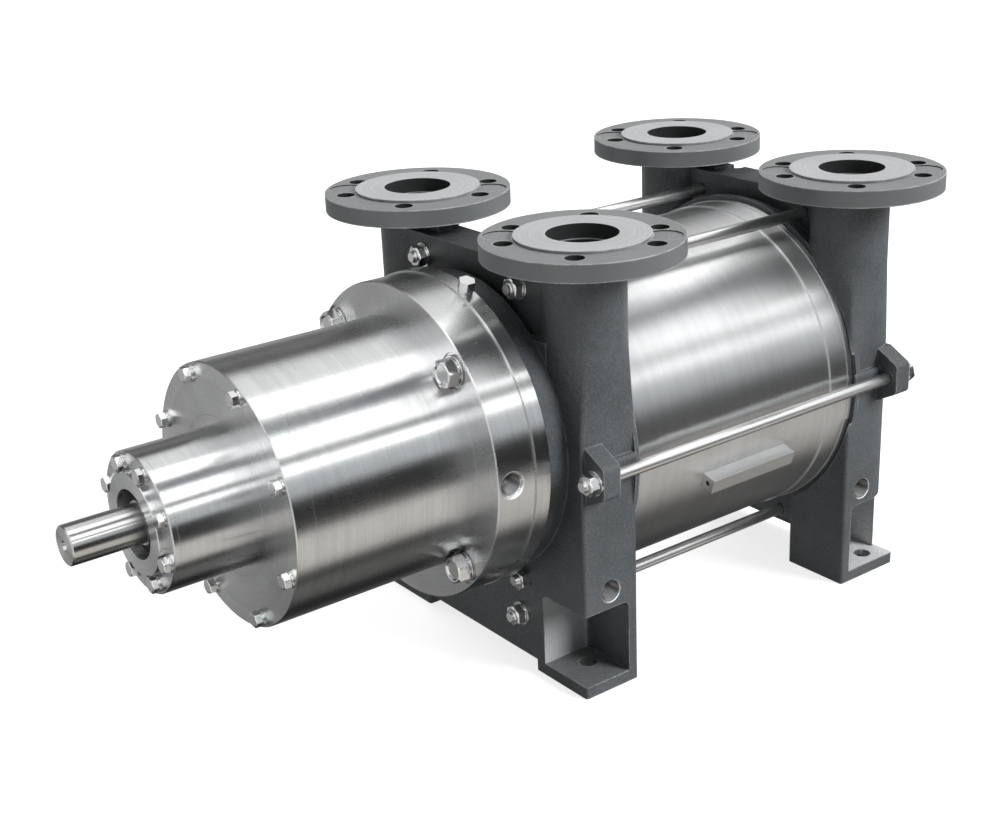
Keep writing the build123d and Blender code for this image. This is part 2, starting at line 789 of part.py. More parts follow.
def vent_plug():
    """The plug with its round collar and six-sided head."""
    x = (adapter_face - boss_face_drive) / 2
    hex_foot = adapter_radius + vent_collar_t
    stem = vent_line(adapter_radius - vent_depth + vent_end_gap, hex_foot, vent_radius)
    collar = vent_line(adapter_radius + seat_gap, hex_foot, vent_across / 2)
    collar -= x_ring(adapter_face, -boss_face_drive, adapter_radius + seat_gap)
    face = RegularPolygon(vent_across / 2, 6, major_radius=False)
    hexagon = extrude(Plane.XY.offset(hex_foot) * face, amount=vent_head)
    hexagon = Pos(x, 0, shaft_height) * Rot(vent_angle - 90, 0, 0) * hexagon
    return stem + collar + hexagon


def coupling_lantern():
    """The lantern: a thick flange against the adapter ring and a round body round the coupling."""
    shape = turned([
        (lantern_end, lantern_bore), (lantern_end, lantern_radius),
        (lantern_flange_face, lantern_radius),
        (lantern_flange_face, lantern_flange_radius - turned_chamfer),
        (lantern_flange_face + turned_chamfer, lantern_flange_radius),
        (adapter_face, lantern_flange_radius), (adapter_face, lantern_bore),
    ])
    for y, z in around(lantern_bolt_count, lantern_bolt_circle, lantern_bolt_angle):
        shape -= x_ring(lantern_flange_face - run_past, adapter_face + run_past,
                        lantern_bolt_radius + rod_clearance, y=y, z=z)
    for y, z in around(lantern_bolt_count, lantern_bolt_circle, lantern_bolt_angle):
        shape -= x_ring(lantern_flange_face - lantern_scallop_length,
                        lantern_flange_face + lantern_bolt_spot, lantern_bolt_scallop, y=y, z=z)
    for y, z in around(cover_bolt_count, cover_bolt_circle, cover_bolt_angle):
        shape -= x_ring(lantern_end - run_past, lantern_end + cover_bolt_bite + bolt_end_gap,
                        cover_bolt_radius + seat_gap, y=y, z=z)
    return shape - side_hole(side_port_x, -lantern_flange_radius, shaft_height, -1,
                             side_port_radius, side_port_depth, side_port_chamfer)


def lantern_cover():
    """The round cover on the lantern's front, let in for the carrier's flange."""
    shape = turned([
        (lantern_cover_face, carrier_flange_radius + seat_gap),
        (lantern_cover_face, lantern_radius - turned_chamfer),
        (lantern_cover_face + turned_chamfer, lantern_radius),
        (lantern_end, lantern_radius),
        (lantern_end, lantern_bore - seat_gap), (lantern_end + lantern_spigot, lantern_bore - seat_gap),
        (lantern_end + lantern_spigot, carrier_tail_radius + seat_gap),
        (lantern_cover_face + carrier_flange_t, carrier_tail_radius + seat_gap),
        (lantern_cover_face + carrier_flange_t, carrier_flange_radius + seat_gap),
    ])
    for y, z in around(cover_bolt_count, cover_bolt_circle, cover_bolt_angle):
        shape -= x_ring(lantern_cover_face - run_past, lantern_end + run_past,
                        cover_bolt_radius + rod_clearance, y=y, z=z)
    for y, z in around(cap_screw_count, carrier_screw_circle, carrier_screw_angle):
        shape -= x_ring(lantern_cover_face, lantern_end + lantern_spigot + run_past,
                        cover_bolt_radius + rod_clearance, y=y, z=z)
    return shape


def bearing_carrier():
    """The carrier: a long round housing with its flange let into the lantern's cover."""
    bore = bearing_outer + seat_gap
    land = bearing_outer - carrier_land
    f0, f1 = front_bearing_start, front_bearing_start + bearing_width
    b0, b1 = back_bearing_start, back_bearing_end
    shape = turned([
        (carrier_face, bore), (carrier_face, carrier_radius), (lantern_cover_face, carrier_radius),
        (lantern_cover_face, carrier_flange_radius),
        (lantern_cover_face + carrier_flange_t, carrier_flange_radius),
        (lantern_cover_face + carrier_flange_t, carrier_tail_radius),
        (b1 + carrier_lip, carrier_tail_radius), (b1 + carrier_lip, land), (b1, land),
        (b1, bore), (b0, bore), (b0, land),
        (f1, land), (f1, bore), (f0, bore),
    ])
    for y, z in around(cap_screw_count, cap_screw_circle, cover_bolt_angle):
        shape -= x_ring(carrier_face - run_past, carrier_face + cap_screw_bite + bolt_end_gap,
                        cap_screw_radius + seat_gap, y=y, z=z)
    for y, z in around(cap_screw_count, carrier_screw_circle, carrier_screw_angle):
        shape -= x_ring(lantern_cover_face + carrier_screw_end - run_past,
                        lantern_cover_face + carrier_flange_t + run_past,
                        cover_bolt_radius + seat_gap, y=y, z=z)
    return shape


def bearing_cover():
    """The small cover in front of the bearings, with a raised ring cut back round its screws."""
    a, b = bearing_ring_face, bearing_cover_face
    shape = turned([
        (a, bearing_cover_bore), (a, bearing_ring_radius - bearing_ring_chamfer),
        (a + bearing_ring_chamfer, bearing_ring_radius), (b, bearing_ring_radius),
        (b, carrier_radius - turned_chamfer), (b + turned_chamfer, carrier_radius),
        (carrier_face, carrier_radius), (carrier_face, bearing_outer),
        (front_bearing_start, bearing_outer), (front_bearing_start, bearing_cover_bore),
    ])
    for y, z in around(cap_screw_count, cap_screw_circle, cover_bolt_angle):
        shape -= x_ring(a - run_past, carrier_face + run_past, cap_screw_radius + rod_clearance, y=y, z=z)
        shape -= x_ring(a - run_past, b, cap_screw_spot, y=y, z=z)
    return shape


def bolts(places, face, s, across, head_t, radius, length, washer=0.0):
    """Hexagon bolts on the plane X = face, with heads towards side s and shanks the other way."""
    shapes = []
    for y, z in places:
        n0, n1 = sorted((face + s * washer, face + s * (washer + head_t)))
        shape = x_hex(n0, n1, across, y, z)
        k0, k1 = sorted((face + s * washer, face - s * length))
        shape += x_ring(k0, k1, radius, y=y, z=z)
        if washer > 0:
            w0, w1 = sorted((face, face + s * washer))
            shape += x_ring(w0, w1, across * head_washer_share, y=y, z=z)
        shapes.append(shape)
    return group(shapes)


def ball_ring(x0, kind):
    """One piece of a ball bearing whose side face is at x0: outer, inner, balls or cage."""
    middle = (bearing_bore + bearing_outer) / 2
    x1 = x0 + bearing_width
    centre = (x0 + x1) / 2
    groove = ball_radius + ball_gap
    if kind == "outer":
        return x_ring(x0, x1, bearing_outer, bearing_outer - bearing_race)
    if kind == "inner":
        return x_ring(x0, x1, bearing_bore + bearing_race, bearing_bore + seat_gap)
    if kind == "balls":
        balls = []
        for y, z in around(ball_count, middle):
            balls.append(Pos(centre, y, z) * Sphere(ball_radius))
        return group(balls)
    cage = x_ring(centre - cage_width / 2, centre + cage_width / 2, middle + cage_wall, middle - cage_wall)
    for k in range(ball_count):
        turn = Rot(360.0 * k / ball_count, 0, 0)
        pocket = turn * Pos(0, middle, 0) * Rot(90, 0, 0) * Cylinder(groove, 6 * cage_wall)
        cage -= Pos(centre, 0, shaft_height) * pocket
    return cage


def lip_seal():
    """The shaft seal pressed into the bearing cover's bore."""
    x1 = front_bearing_start - seat_gap
    x0 = x1 - seal_width
    outer = bearing_cover_bore - seat_gap
    bore = bearing_bore + running_gap
    return turned([
        (x0, bore + seal_lip_t), (x0, outer), (x1, outer), (x1, outer - seal_rim_t),
        (x0 + seal_case_t, outer - seal_rim_t), (x0 + seal_case_t, bore + seal_lip_t),
        (x1 - seal_lip_inset, bore + seal_lip_tip), (x1 - seal_lip_inset, bore),
        (x0 + seal_lip_inset, bore),
    ])


def drive_shaft():
    """The drive shaft, with a centre hole in its free end and seats for bearings and rotor."""
    f0 = front_bearing_start
    f1 = f0 + bearing_width
    b0 = back_bearing_start
    hub_end = back_bearing_end + lock_nut_t + hub_length
    shape = turned([
        (shaft_tip, 0), (shaft_tip, shaft_end_radius - shaft_chamfer),
        (shaft_tip + shaft_chamfer, shaft_end_radius),
        (bearing_cover_face, shaft_end_radius), (bearing_cover_face, bearing_bore),
        (f1, bearing_bore), (f1, shaft_shoulder_radius), (b0, shaft_shoulder_radius),
        (b0, bearing_bore), (hub_end, bearing_bore), (hub_end, 0),
    ])
    cone = turned([
        (shaft_tip - run_past, 0), (shaft_tip - run_past, centre_hole_radius),
        (shaft_tip, centre_hole_radius), (shaft_tip + centre_cone_depth, centre_drill_radius),
        (shaft_tip + centre_hole_depth, centre_drill_radius), (shaft_tip + centre_hole_depth, 0),
    ])
    return shape - cone


def lock_nut():
    """The slotted nut that clamps the back bearing on the drive shaft."""
    x0 = back_bearing_end
    nut = x_ring(x0, x0 + lock_nut_t, lock_nut_radius, bearing_bore + seat_gap)
    for k in range(lock_slot_count):
        slot = x_block(x0 - run_past, x0 + lock_nut_t + run_past, -lock_slot_width / 2, lock_slot_width / 2,
                       lock_nut_radius - lock_slot_depth, lock_nut_radius + run_past)
        nut -= Pos(0, 0, shaft_height) * Rot(360.0 * k / lock_slot_count, 0, 0) * slot
    return nut


def outer_magnet_rotor():
    """The cup on the drive shaft that carries the outer magnets."""
    x0 = back_bearing_end + lock_nut_t
    x1 = x0 + hub_length
    x2 = x1 + outer_rotor_length
    return turned([
        (x0, bearing_bore + seat_gap), (x0, hub_radius), (x1 - outer_rotor_plate, hub_radius),
        (x1 - outer_rotor_plate, outer_rotor_radius), (x2, outer_rotor_radius),
        (x2, outer_rotor_bore), (x1, outer_rotor_bore), (x1, bearing_bore + seat_gap),
    ])


def magnets(x0, face_radius, s):
    """A ring of flat magnets from x0 along X, standing on face_radius: outwards for s = 1."""
    low, high = sorted((face_radius, face_radius + s * magnet_t))
    blocks = []
    for k in range(magnet_count):
        block = x_block(x0, x0 + magnet_length, -magnet_width / 2, magnet_width / 2, low, high)
        blocks.append(Pos(0, 0, shaft_height) * Rot(360.0 * k / magnet_count, 0, 0) * block)
    return blocks


def outer_magnets():
    """The magnets inside the outer rotor."""
    x0 = back_bearing_end + lock_nut_t + hub_length + outer_magnet_start
    return group(magnets(x0, outer_magnet_face, -1))


def inner_magnet_rotor():
    """The round rotor on the pump shaft, with a flat seat for each inner magnet."""
    x0 = rotor_end
    start = x0 + inner_magnet_start
    rotor = x_ring(x0, x0 + inner_rotor_length, inner_rotor_radius, pump_shaft_radius + seat_gap)
    for k in range(magnet_count):
        seat = x_block(start, start + magnet_length + seat_gap, -magnet_width / 2 - seat_gap,
                       magnet_width / 2 + seat_gap, inner_magnet_seat, inner_rotor_radius + run_past)
        rotor -= Pos(0, 0, shaft_height) * Rot(360.0 * k / magnet_count, 0, 0) * seat
    return rotor


def inner_magnets():
    """The magnets let into the inner rotor."""
    return group(magnets(rotor_end + inner_magnet_start, inner_magnet_seat, 1))


def containment_shell():
    """The thin closed can between the two magnet rotors."""
    flange_face = adapter_face - shell_flange_t
    shape = turned([
        (adapter_face, shell_flange_radius), (flange_face, shell_flange_radius),
        (flange_face, shell_radius), (shell_end, shell_radius), (shell_end, 0),
        (shell_end + shell_wall, 0), (shell_end + shell_wall, shell_radius - shell_wall),
        (adapter_face, shell_radius - shell_wall),
    ])
    for y, z in around(shell_screw_count, shell_screw_circle, shell_screw_angle):
        shape -= x_ring(flange_face - run_past, adapter_face + run_past,
                        shell_screw_radius + rod_clearance, y=y, z=z)
    return shape


def pump_shaft():
    """The shaft that carries the impeller, sleeves and inner rotor."""
    x0 = rotor_end - pump_shaft_over
    x1 = boss_face_rear - thrust_gap
    return x_ring(x0, x1, pump_shaft_radius)


def sleeve(x0, x1):
    """A wearing sleeve on the pump shaft."""
    return x_ring(x0, x1, sleeve_radius, pump_shaft_radius + seat_gap)


def bush(x0, x1):
    """A fixed bearing bush round a sleeve."""
    return x_ring(x0, x1, bush_radius, sleeve_radius + running_gap)


def blade():
    """The outline of one forward-curved blade, standing upwards from the hub."""
    def at(radius, angle, side):
        turn = math.radians(90 - angle) + side * blade_t / 2 / radius
        return (radius * math.cos(turn), radius * math.sin(turn))
    root = impeller_hub_radius - run_past
    tip = impeller_radius
    middle = (root + tip) / 2
    edges = [
        ThreePointArc(at(root, 0, 1), at(middle, blade_lean, 1), at(tip, blade_sweep, 1)),
        Line(at(tip, blade_sweep, 1), at(tip, blade_sweep, -1)),
        ThreePointArc(at(tip, blade_sweep, -1), at(middle, blade_lean, -1), at(root, 0, -1)),
        Line(at(root, 0, -1), at(root, 0, 1)),
    ]
    return make_face(edges)


def impeller():
    """The impeller: hub, centre web and curved blades that run its whole length."""
    x0 = barrel_start + impeller_end_gap
    x1 = barrel_end - impeller_end_gap
    shape = x_ring(x0, x1, impeller_hub_radius)
    middle = (x0 + x1) / 2
    shape += x_ring(middle - impeller_web_t / 2, middle + impeller_web_t / 2, impeller_radius)
    face = blade()
    for k in range(blade_count):
        turn = Rot(0, 0, 360.0 * k / blade_count) * face
        shape += extrude(Plane.YZ.offset(x0) * Pos(0, shaft_height) * turn, amount=x1 - x0)
    return shape - x_ring(x0 - run_past, x1 + run_past, pump_shaft_radius + seat_gap)


def rear_cover():
    """The closed cover on the rear boss, with a low raised middle."""
    x0 = boss_face_rear
    x1 = x0 + rear_cover_t
    x2 = x1 + rear_dome_height
    shape = turned([
        (x0, 0), (x0, rear_cover_radius), (x1 - rear_cover_chamfer, rear_cover_radius),
        (x1, rear_cover_radius - rear_cover_chamfer), (x1, rear_dome_radius),
        (x2, rear_dome_radius - rear_dome_slope), (x2, 0),
    ])
    for y, z in around(rear_bolt_count, rear_bolt_circle, cover_bolt_angle):
        shape -= x_ring(x0 - run_past, x1 + run_past, rear_bolt_radius + rod_clearance, y=y, z=z)
    return shape


def nodes():
    """Every node's name with its shape."""
    parts = {}
    parts["drive_end_head"] = drive_end_head()
    parts["rear_end_head"] = rear_end_head()
    parts["barrel"] = barrel()
    parts["gauge_bar"] = gauge_bar()
    parts["drive_port_plate"] = port_plate(barrel_start, -1)
    parts["rear_port_plate"] = port_plate(barrel_end, 1)
    parts["drive_gasket"] = gasket(-head_inner_drive, -head_inner_drive + gasket_t)
    parts["rear_gasket"] = gasket(head_inner_rear - gasket_t, head_inner_rear)
    drive_back = barrel_start - port_plate_t
    rear_back = barrel_end + port_plate_t
    parts["drive_discharge_flap"] = flap(drive_back - flap_t, drive_back, 0)
    parts["rear_discharge_flap"] = flap(rear_back, rear_back + flap_t, 0)
    parts["drive_flap_guard"] = flap(
        drive_back - flap_t - flap_guard_t, drive_back - flap_t, flap_guard_edge)
    parts["rear_flap_guard"] = flap(
        rear_back + flap_t, rear_back + flap_t + flap_guard_t, flap_guard_edge)
    parts["tie_rods"] = tie_rods()
    parts["tie_rod_nuts"] = tie_rod_nuts()
    parts["tie_rod_washers"] = tie_rod_washers()
    parts["chamber_studs"] = chamber_studs()
    parts["adapter_ring"] = adapter_ring()
    parts["vent_plug"] = vent_plug()
    parts["coupling_lantern"] = coupling_lantern()
    parts["lantern_bolts"] = bolts(
        around(lantern_bolt_count, lantern_bolt_circle, lantern_bolt_angle),
        lantern_flange_face + lantern_bolt_spot, -1, lantern_bolt_across, lantern_bolt_head,
        lantern_bolt_radius, lantern_flange_t + adapter_t + lantern_bolt_bite, lantern_bolt_washer)
    parts["lantern_cover"] = lantern_cover()
    parts["lantern_cover_bolts"] = bolts(
        around(cover_bolt_count, cover_bolt_circle, cover_bolt_angle), lantern_cover_face, -1,
        cover_bolt_across, cover_bolt_head, cover_bolt_radius, lantern_cover_t + cover_bolt_bite,
        cover_bolt_washer)
    parts["bearing_carrier"] = bearing_carrier()
    parts["carrier_screws"] = bolts(
        around(cap_screw_count, carrier_screw_circle, carrier_screw_angle), lantern_end + lantern_spigot, 1,
        cap_screw_across, cap_screw_head, cover_bolt_radius,
        lantern_cover_t + lantern_spigot - carrier_screw_end)
    parts["bearing_cover"] = bearing_cover()
    parts["bearing_cover_screws"] = bolts(
        around(cap_screw_count, cap_screw_circle, cover_bolt_angle), bearing_cover_face, -1,
        cap_screw_across, cap_screw_head, cap_screw_radius, bearing_cover_t + cap_screw_bite,
        cap_screw_washer)
    parts["lip_seal"] = lip_seal()
    for name, x0 in (("front", front_bearing_start), ("back", back_bearing_start)):
        parts[name + "_bearing_outer_ring"] = ball_ring(x0, "outer")
        parts[name + "_bearing_inner_ring"] = ball_ring(x0, "inner")
        parts[name + "_bearing_balls"] = ball_ring(x0, "balls")
        parts[name + "_bearing_cage"] = ball_ring(x0, "cage")
    parts["drive_shaft"] = drive_shaft()
    parts["shaft_lock_nut"] = lock_nut()
    parts["outer_magnet_rotor"] = outer_magnet_rotor()
    parts["outer_magnets"] = outer_magnets()
    parts["containment_shell"] = containment_shell()
    parts["shell_screws"] = bolts(
        around(shell_screw_count, shell_screw_circle, shell_screw_angle), adapter_face - shell_flange_t, -1,
        shell_screw_across, shell_screw_head, shell_screw_radius, shell_flange_t + shell_screw_bite)
    parts["inner_magnet_rotor"] = inner_magnet_rotor()
    parts["inner_magnets"] = inner_magnets()
    parts["pump_shaft"] = pump_shaft()
    parts["impeller"] = impeller()
    drive_sleeve_start = -boss_face_drive
    rear_sleeve_end = boss_face_rear
    parts["drive_shaft_sleeve"] = sleeve(drive_sleeve_start, drive_sleeve_start + sleeve_length)
    parts["rear_shaft_sleeve"] = sleeve(rear_sleeve_end - sleeve_length, rear_sleeve_end - thrust_gap)
    parts["drive_bush"] = bush(drive_sleeve_start, drive_sleeve_start + sleeve_length)
    parts["rear_bush"] = bush(rear_sleeve_end - sleeve_length, rear_sleeve_end)
    parts["rear_cover"] = rear_cover()
    parts["rear_cover_bolts"] = bolts(
        around(rear_bolt_count, rear_bolt_circle, cover_bolt_angle), boss_face_rear + rear_cover_t, 1,
        rear_bolt_across, rear_bolt_head, rear_bolt_radius, rear_cover_t + boss_depth_rear)
    return parts


for name, shape in nodes().items():
    export_step(shape, "parts/" + name + ".step")
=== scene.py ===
"""Looks of a liquid ring vacuum pump with a magnetic drive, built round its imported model, in metres."""

import logging
import math
from collections.abc import Sequence
from dataclasses import dataclass
from enum import Enum

import bmesh
import bpy
from mathutils import Matrix, Vector


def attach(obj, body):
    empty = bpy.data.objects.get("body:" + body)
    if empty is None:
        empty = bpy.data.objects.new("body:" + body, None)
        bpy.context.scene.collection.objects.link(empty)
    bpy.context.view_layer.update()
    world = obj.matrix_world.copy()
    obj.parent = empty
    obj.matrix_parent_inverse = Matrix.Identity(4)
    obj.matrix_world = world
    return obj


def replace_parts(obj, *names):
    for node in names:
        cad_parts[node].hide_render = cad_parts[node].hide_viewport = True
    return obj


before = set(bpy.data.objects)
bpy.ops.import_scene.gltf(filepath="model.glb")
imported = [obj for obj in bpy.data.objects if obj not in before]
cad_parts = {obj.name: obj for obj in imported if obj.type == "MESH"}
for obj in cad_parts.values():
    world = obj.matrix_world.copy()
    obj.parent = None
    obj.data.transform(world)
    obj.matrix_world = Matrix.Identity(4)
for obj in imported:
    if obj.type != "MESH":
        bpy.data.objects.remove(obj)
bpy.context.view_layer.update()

log = logging.getLogger("pump")

Colour = tuple[float, float, float]
Socket = bpy.types.NodeSocket
Source = Socket | float | tuple[float, ...]
Line = tuple[float, float]
Place = tuple[float, float, float]

MM = 0.001
SHAFT_HEIGHT = 238 * MM
BARREL_HEIGHT = 222 * MM
SOFT_STEP = 0.4 * MM
MERGE_GAP = 0.002 * MM
SORT_DIGITS = 4
BEVEL_SAMPLES = 4
HEAD_STEPS = 48
ROD_STEPS = 64
HOLE_STEPS = 40
THREAD_UNDER = 0.5 * MM
WHITE: Colour = (1.0, 1.0, 1.0)
BLACK: Colour = (0.0, 0.0, 0.0)
# The values between which noise and the parts of a normal are spread from 0 to 1.
NOISE_MIDDLE = (0.35, 0.65)
NOISE_WIDE = (0.3, 0.7)
FACES_LEVEL = (0.3, 0.6)
FACES_UP = (0.8, 0.95)
FACES_ASIDE = (0.5, 0.8)
FACES_DRIVE_END = (-0.5, -0.8)


class Body(Enum):
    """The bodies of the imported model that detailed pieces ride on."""

    CASING = "casing"


class Side(Enum):
    """The ends of the pump, as the way along X that a fastener's head looks there."""

    DRIVE = -1
    REAR = 1


def scaled(colour: Colour, factor: float) -> Colour:
    """Makes a colour lighter or darker by a factor."""
    return tuple(factor * part for part in colour)


class Graph:
    """A shader node tree with short calls for the nodes that the finishes use."""

    def __init__(self, tree: bpy.types.NodeTree) -> None:
        """Wraps the tree that new nodes go into."""
        self.tree = tree

    def add(self, kind: str, **settings: object) -> bpy.types.Node:
        """Adds one node.

        Args:
            kind: the node's type name.
            settings: properties of the node and their values.

        Returns:
            The new node.
        """
        node = self.tree.nodes.new(kind)
        node.location = (180 * len(self.tree.nodes), 0)
        for name, value in settings.items():
            setattr(node, name, value)
        return node

    def feed(self, socket: Socket, source: Source) -> None:
        """Links a socket to another one, or sets its value.

        Args:
            socket: the input to fill.
            source: an output to link, or a plain value.
        """
        if isinstance(source, bpy.types.NodeSocket):
            self.tree.links.new(source, socket)
        else:
            socket.default_value = source

    def feed_all(self, node: bpy.types.Node, **values: Source) -> None:
        """Fills some of a node's inputs, named with underscores for spaces."""
        for name, source in values.items():
            self.feed(node.inputs[name.replace("_", " ").title()], source)

    def math(self, operation: str, first: Source, second: Source = 0.0, third: Source = 0.0) -> Socket:
        """Works out one number.

        Args:
            operation: the Math node's operation.
            first: the first input.
            second: the second input.
            third: the third input, where the operation has one.

        Returns:
            The result.
        """
        node = self.add("ShaderNodeMath", operation=operation)
        for socket, source in zip(node.inputs, (first, second, third)):
            self.feed(socket, source)
        return node.outputs[0]

    def times(self, *factors: Source) -> Socket:
        """Multiplies numbers.

        Args:
            factors: the numbers.

        Returns:
            Their product.
        """
        product = factors[0]
        for factor in factors[1:]:
            product = self.math("MULTIPLY", product, factor)
        return product

    def rest(self, share: Source) -> Socket:
        """Gives what a share leaves of 1."""
        return self.math("SUBTRACT", 1.0, share)

    def vector(self, operation: str, first: Source, second: Source = (0.0, 0.0, 0.0)) -> Socket:
        """Works out one vector, or the number that DOT_PRODUCT and LENGTH give.

        Args:
            operation: the Vector Math node's operation.
            first: the first vector.
            second: the second vector.

        Returns:
            The result.
        """
        node = self.add("ShaderNodeVectorMath", operation=operation)
        self.feed(node.inputs[0], first)
        self.feed(node.inputs[1], second)
        return node.outputs[1 if operation in ("DOT_PRODUCT", "LENGTH") else 0]

    def span(self, value: Source, low: float, high: float, start: float = 0.0, end: float = 1.0) -> Socket:
        """Maps a value smoothly from one range to another and holds it at the ends.

        Args:
            value: the number to map.
            low: the value that gives start.
            high: the value that gives end.
            start: the result at low.
            end: the result at high.

        Returns:
            The mapped number.
        """
        node = self.add("ShaderNodeMapRange", interpolation_type="SMOOTHSTEP")
        self.feed_all(node, value=value, from_min=low, from_max=high, to_min=start, to_max=end)
        return node.outputs[0]

    def above(self, value: Source, limit: float, soft: float = SOFT_STEP) -> Socket:
        """Gives 0 up to a limit and 1 beyond it, with a soft step between them."""
        return self.span(value, limit, limit + soft)

    def blend(self, factor: Source, first: Source, second: Source, mode: str = "MIX") -> Socket:
        """Mixes two colours.

        Args:
            factor: the share of the second colour.
            first: the first colour.
            second: the second colour.
            mode: the way of mixing.

        Returns:
            The mixed colour.
        """
        node = self.add("ShaderNodeMix", data_type="RGBA", blend_type=mode)
        self.feed(node.inputs[0], factor)
        for socket, source in ((node.inputs[6], first), (node.inputs[7], second)):
            plain = isinstance(source, tuple) and len(source) == 3
            self.feed(socket, source + (1.0,) if plain else source)
        return node.outputs[2]

    def noise(self, vector: Source, scale: Source, detail: float, roughness: float) -> Socket:
        """Makes soft noise from 0 to 1.

        Args:
            vector: the place to look up.
            scale: how many waves there are in a metre.
            detail: how many finer layers are added.
            roughness: how strong the finer layers are.

        Returns:
            The noise value.
        """
        node = self.add("ShaderNodeTexNoise")
        self.feed_all(node, vector=vector, scale=scale, detail=detail, roughness=roughness)
        return node.outputs[0]

    def place(self) -> Socket:
        """Gives the shaded point's place in its own object."""
        return self.add("ShaderNodeTexCoord").outputs["Object"]

    def normal(self) -> Socket:
        """Gives the surface's normal without rounded edges or relief."""
        return self.add("ShaderNodeNewGeometry").outputs["Normal"]

    def parts(self, vector: Source) -> tuple[Socket, Socket, Socket]:
        """Splits a vector into its X, Y and Z."""
        node = self.add("ShaderNodeSeparateXYZ")
        self.feed(node.inputs[0], vector)
        return node.outputs[0], node.outputs[1], node.outputs[2]

    def join(self, x: Source, y: Source, z: Source) -> Socket:
        """Makes a vector.

        Args:
            x: its X.
            y: its Y.
            z: its Z.

        Returns:
            The vector.
        """
        node = self.add("ShaderNodeCombineXYZ")
        for socket, source in zip(node.inputs, (x, y, z)):
            self.feed(socket, source)
        return node.outputs[0]

    def grey(self, level: Source) -> Socket:
        """Makes a grey as light as the level."""
        return self.join(level, level, level)


class EffectGroup:
    """A shader node group built once and placed in many materials, with its inputs' first values."""

    name = "effect"
    inputs: dict[str, float] = {}
    outputs: tuple[str, ...] = ("Mask",)
    port = "NodeSocketFloat"
    trees: dict[str, bpy.types.NodeTree] = {}

    def fill(self, graph: Graph, given: bpy.types.Node) -> dict[str, Socket]:
        """Builds the group's inside.

        Args:
            graph: the group's own tree.
            given: the group's input node.

        Returns:
            The socket that goes to each output.
        """
        raise NotImplementedError

    def tree(self) -> bpy.types.NodeTree:
        """Gives the group's tree, built at the first call."""
        if self.name not in self.trees:
            tree = bpy.data.node_groups.new(self.name, "ShaderNodeTree")
            for name, value in self.inputs.items():
                tree.interface.new_socket(name, in_out="INPUT", socket_type=self.port).default_value = value
            for name in self.outputs:
                tree.interface.new_socket(name, in_out="OUTPUT", socket_type=self.port)
            graph = Graph(tree)
            given = graph.add("NodeGroupInput")
            sources = self.fill(graph, given)
            result = graph.add("NodeGroupOutput")
            for name in self.outputs:
                graph.feed(result.inputs[name], sources[name])
            self.trees[self.name] = tree
        return self.trees[self.name]

    def use(self, graph: Graph, **values: Source) -> bpy.types.Node:
        """Places the group in a material.

        Args:
            graph: the material's tree.
            values: what goes into the inputs, with spaces written as underscores.

        Returns:
            The group node.
        """
        node = graph.add("ShaderNodeGroup")
        node.node_tree = self.tree()
        graph.feed_all(node, **values)
        return node


class EdgeWearAndHighlight(EffectGroup):
    """Marks the rounded edges: where a fastener's polish wears first, and where a casting gets a painted edge
    highlight.
    """

    name = "edge_wear_and_highlight"
    inputs = {"Width": 1.0 * MM, "Breakup Scale": 300.0}
    turned_from = 0.99
    turned_full = 0.78
    least = 0.35

    def fill(self, graph: Graph, given: bpy.types.Node) -> dict[str, Socket]:
        """Compares the rounded normal with the true one. See EffectGroup.fill."""
        bevel = graph.add("ShaderNodeBevel", samples=BEVEL_SAMPLES)
        graph.feed_all(bevel, radius=given.outputs["Width"])
        match = graph.math("MAXIMUM", graph.vector("DOT_PRODUCT", bevel.outputs[0], graph.normal()), 0.0)
        mask = graph.span(match, self.turned_from, self.turned_full)
        breakup = graph.noise(graph.place(), given.outputs["Breakup Scale"], detail=4.0, roughness=0.6)
        return {"Mask": graph.times(mask, graph.span(breakup, *NOISE_MIDDLE, self.least, 1.0))}


class TurningLines(EffectGroup):
    """The fine rings that a lathe leaves, along a cylinder and out over its flat faces."""

    name = "turning_lines"
    inputs = {"Axis Height": SHAFT_HEIGHT, "Lines Along": 900.0, "Lines Out": 600.0}
    outputs = ("Lines", "Broad")
    broader = 0.12

    def fill(self, graph: Graph, given: bpy.types.Node) -> dict[str, Socket]:
        """Looks up noise by the place along the axis and the distance from it. See EffectGroup.fill."""
        x, y, z = graph.parts(graph.place())
        rise = graph.math("SUBTRACT", z, given.outputs["Axis Height"])
        out = graph.vector("LENGTH", graph.join(0.0, y, rise))
        along = graph.times(x, given.outputs["Lines Along"])
        fine = graph.join(along, graph.times(out, given.outputs["Lines Out"]), 0.0)
        broad = graph.vector("MULTIPLY", fine, scaled(WHITE, self.broader))
        return {
            "Lines": graph.noise(fine, 1.0, detail=3.0, roughness=0.7),
            "Broad": graph.noise(broad, 1.0, detail=3.0, roughness=0.6),
        }


class CastGrain(EffectGroup):
    """The uneven skin of a painted sand casting, with the places for its painted glints."""

    name = "cast_grain"
    inputs = {"Grains": 450.0}
    outputs = ("Height", "Tone", "Speckle")
    swells = 45.0
    clouds = 14.0
    grain_height = 0.7
    swell_height = 0.5
    cloud_tone = 0.6
    grain_tone = 0.4
    # The grain heights that get the painted glints.
    painted_glint_span = (0.52, 0.70)

    def fill(self, graph: Graph, given: bpy.types.Node) -> dict[str, Socket]:
        """Adds fine grain to slow swells. See EffectGroup.fill."""
        place = graph.place()
        grain = graph.noise(place, given.outputs["Grains"], detail=3.0, roughness=0.65)
        swell = graph.noise(place, self.swells, detail=2.0, roughness=0.5)
        cloud = graph.noise(place, self.clouds, detail=4.0, roughness=0.6)
        height = graph.math("MULTIPLY_ADD", grain, self.grain_height, graph.times(swell, self.swell_height))
        tone = graph.math("MULTIPLY_ADD", cloud, self.cloud_tone, graph.times(grain, self.grain_tone))
        return {"Height": height, "Tone": tone, "Speckle": graph.span(grain, *self.painted_glint_span)}


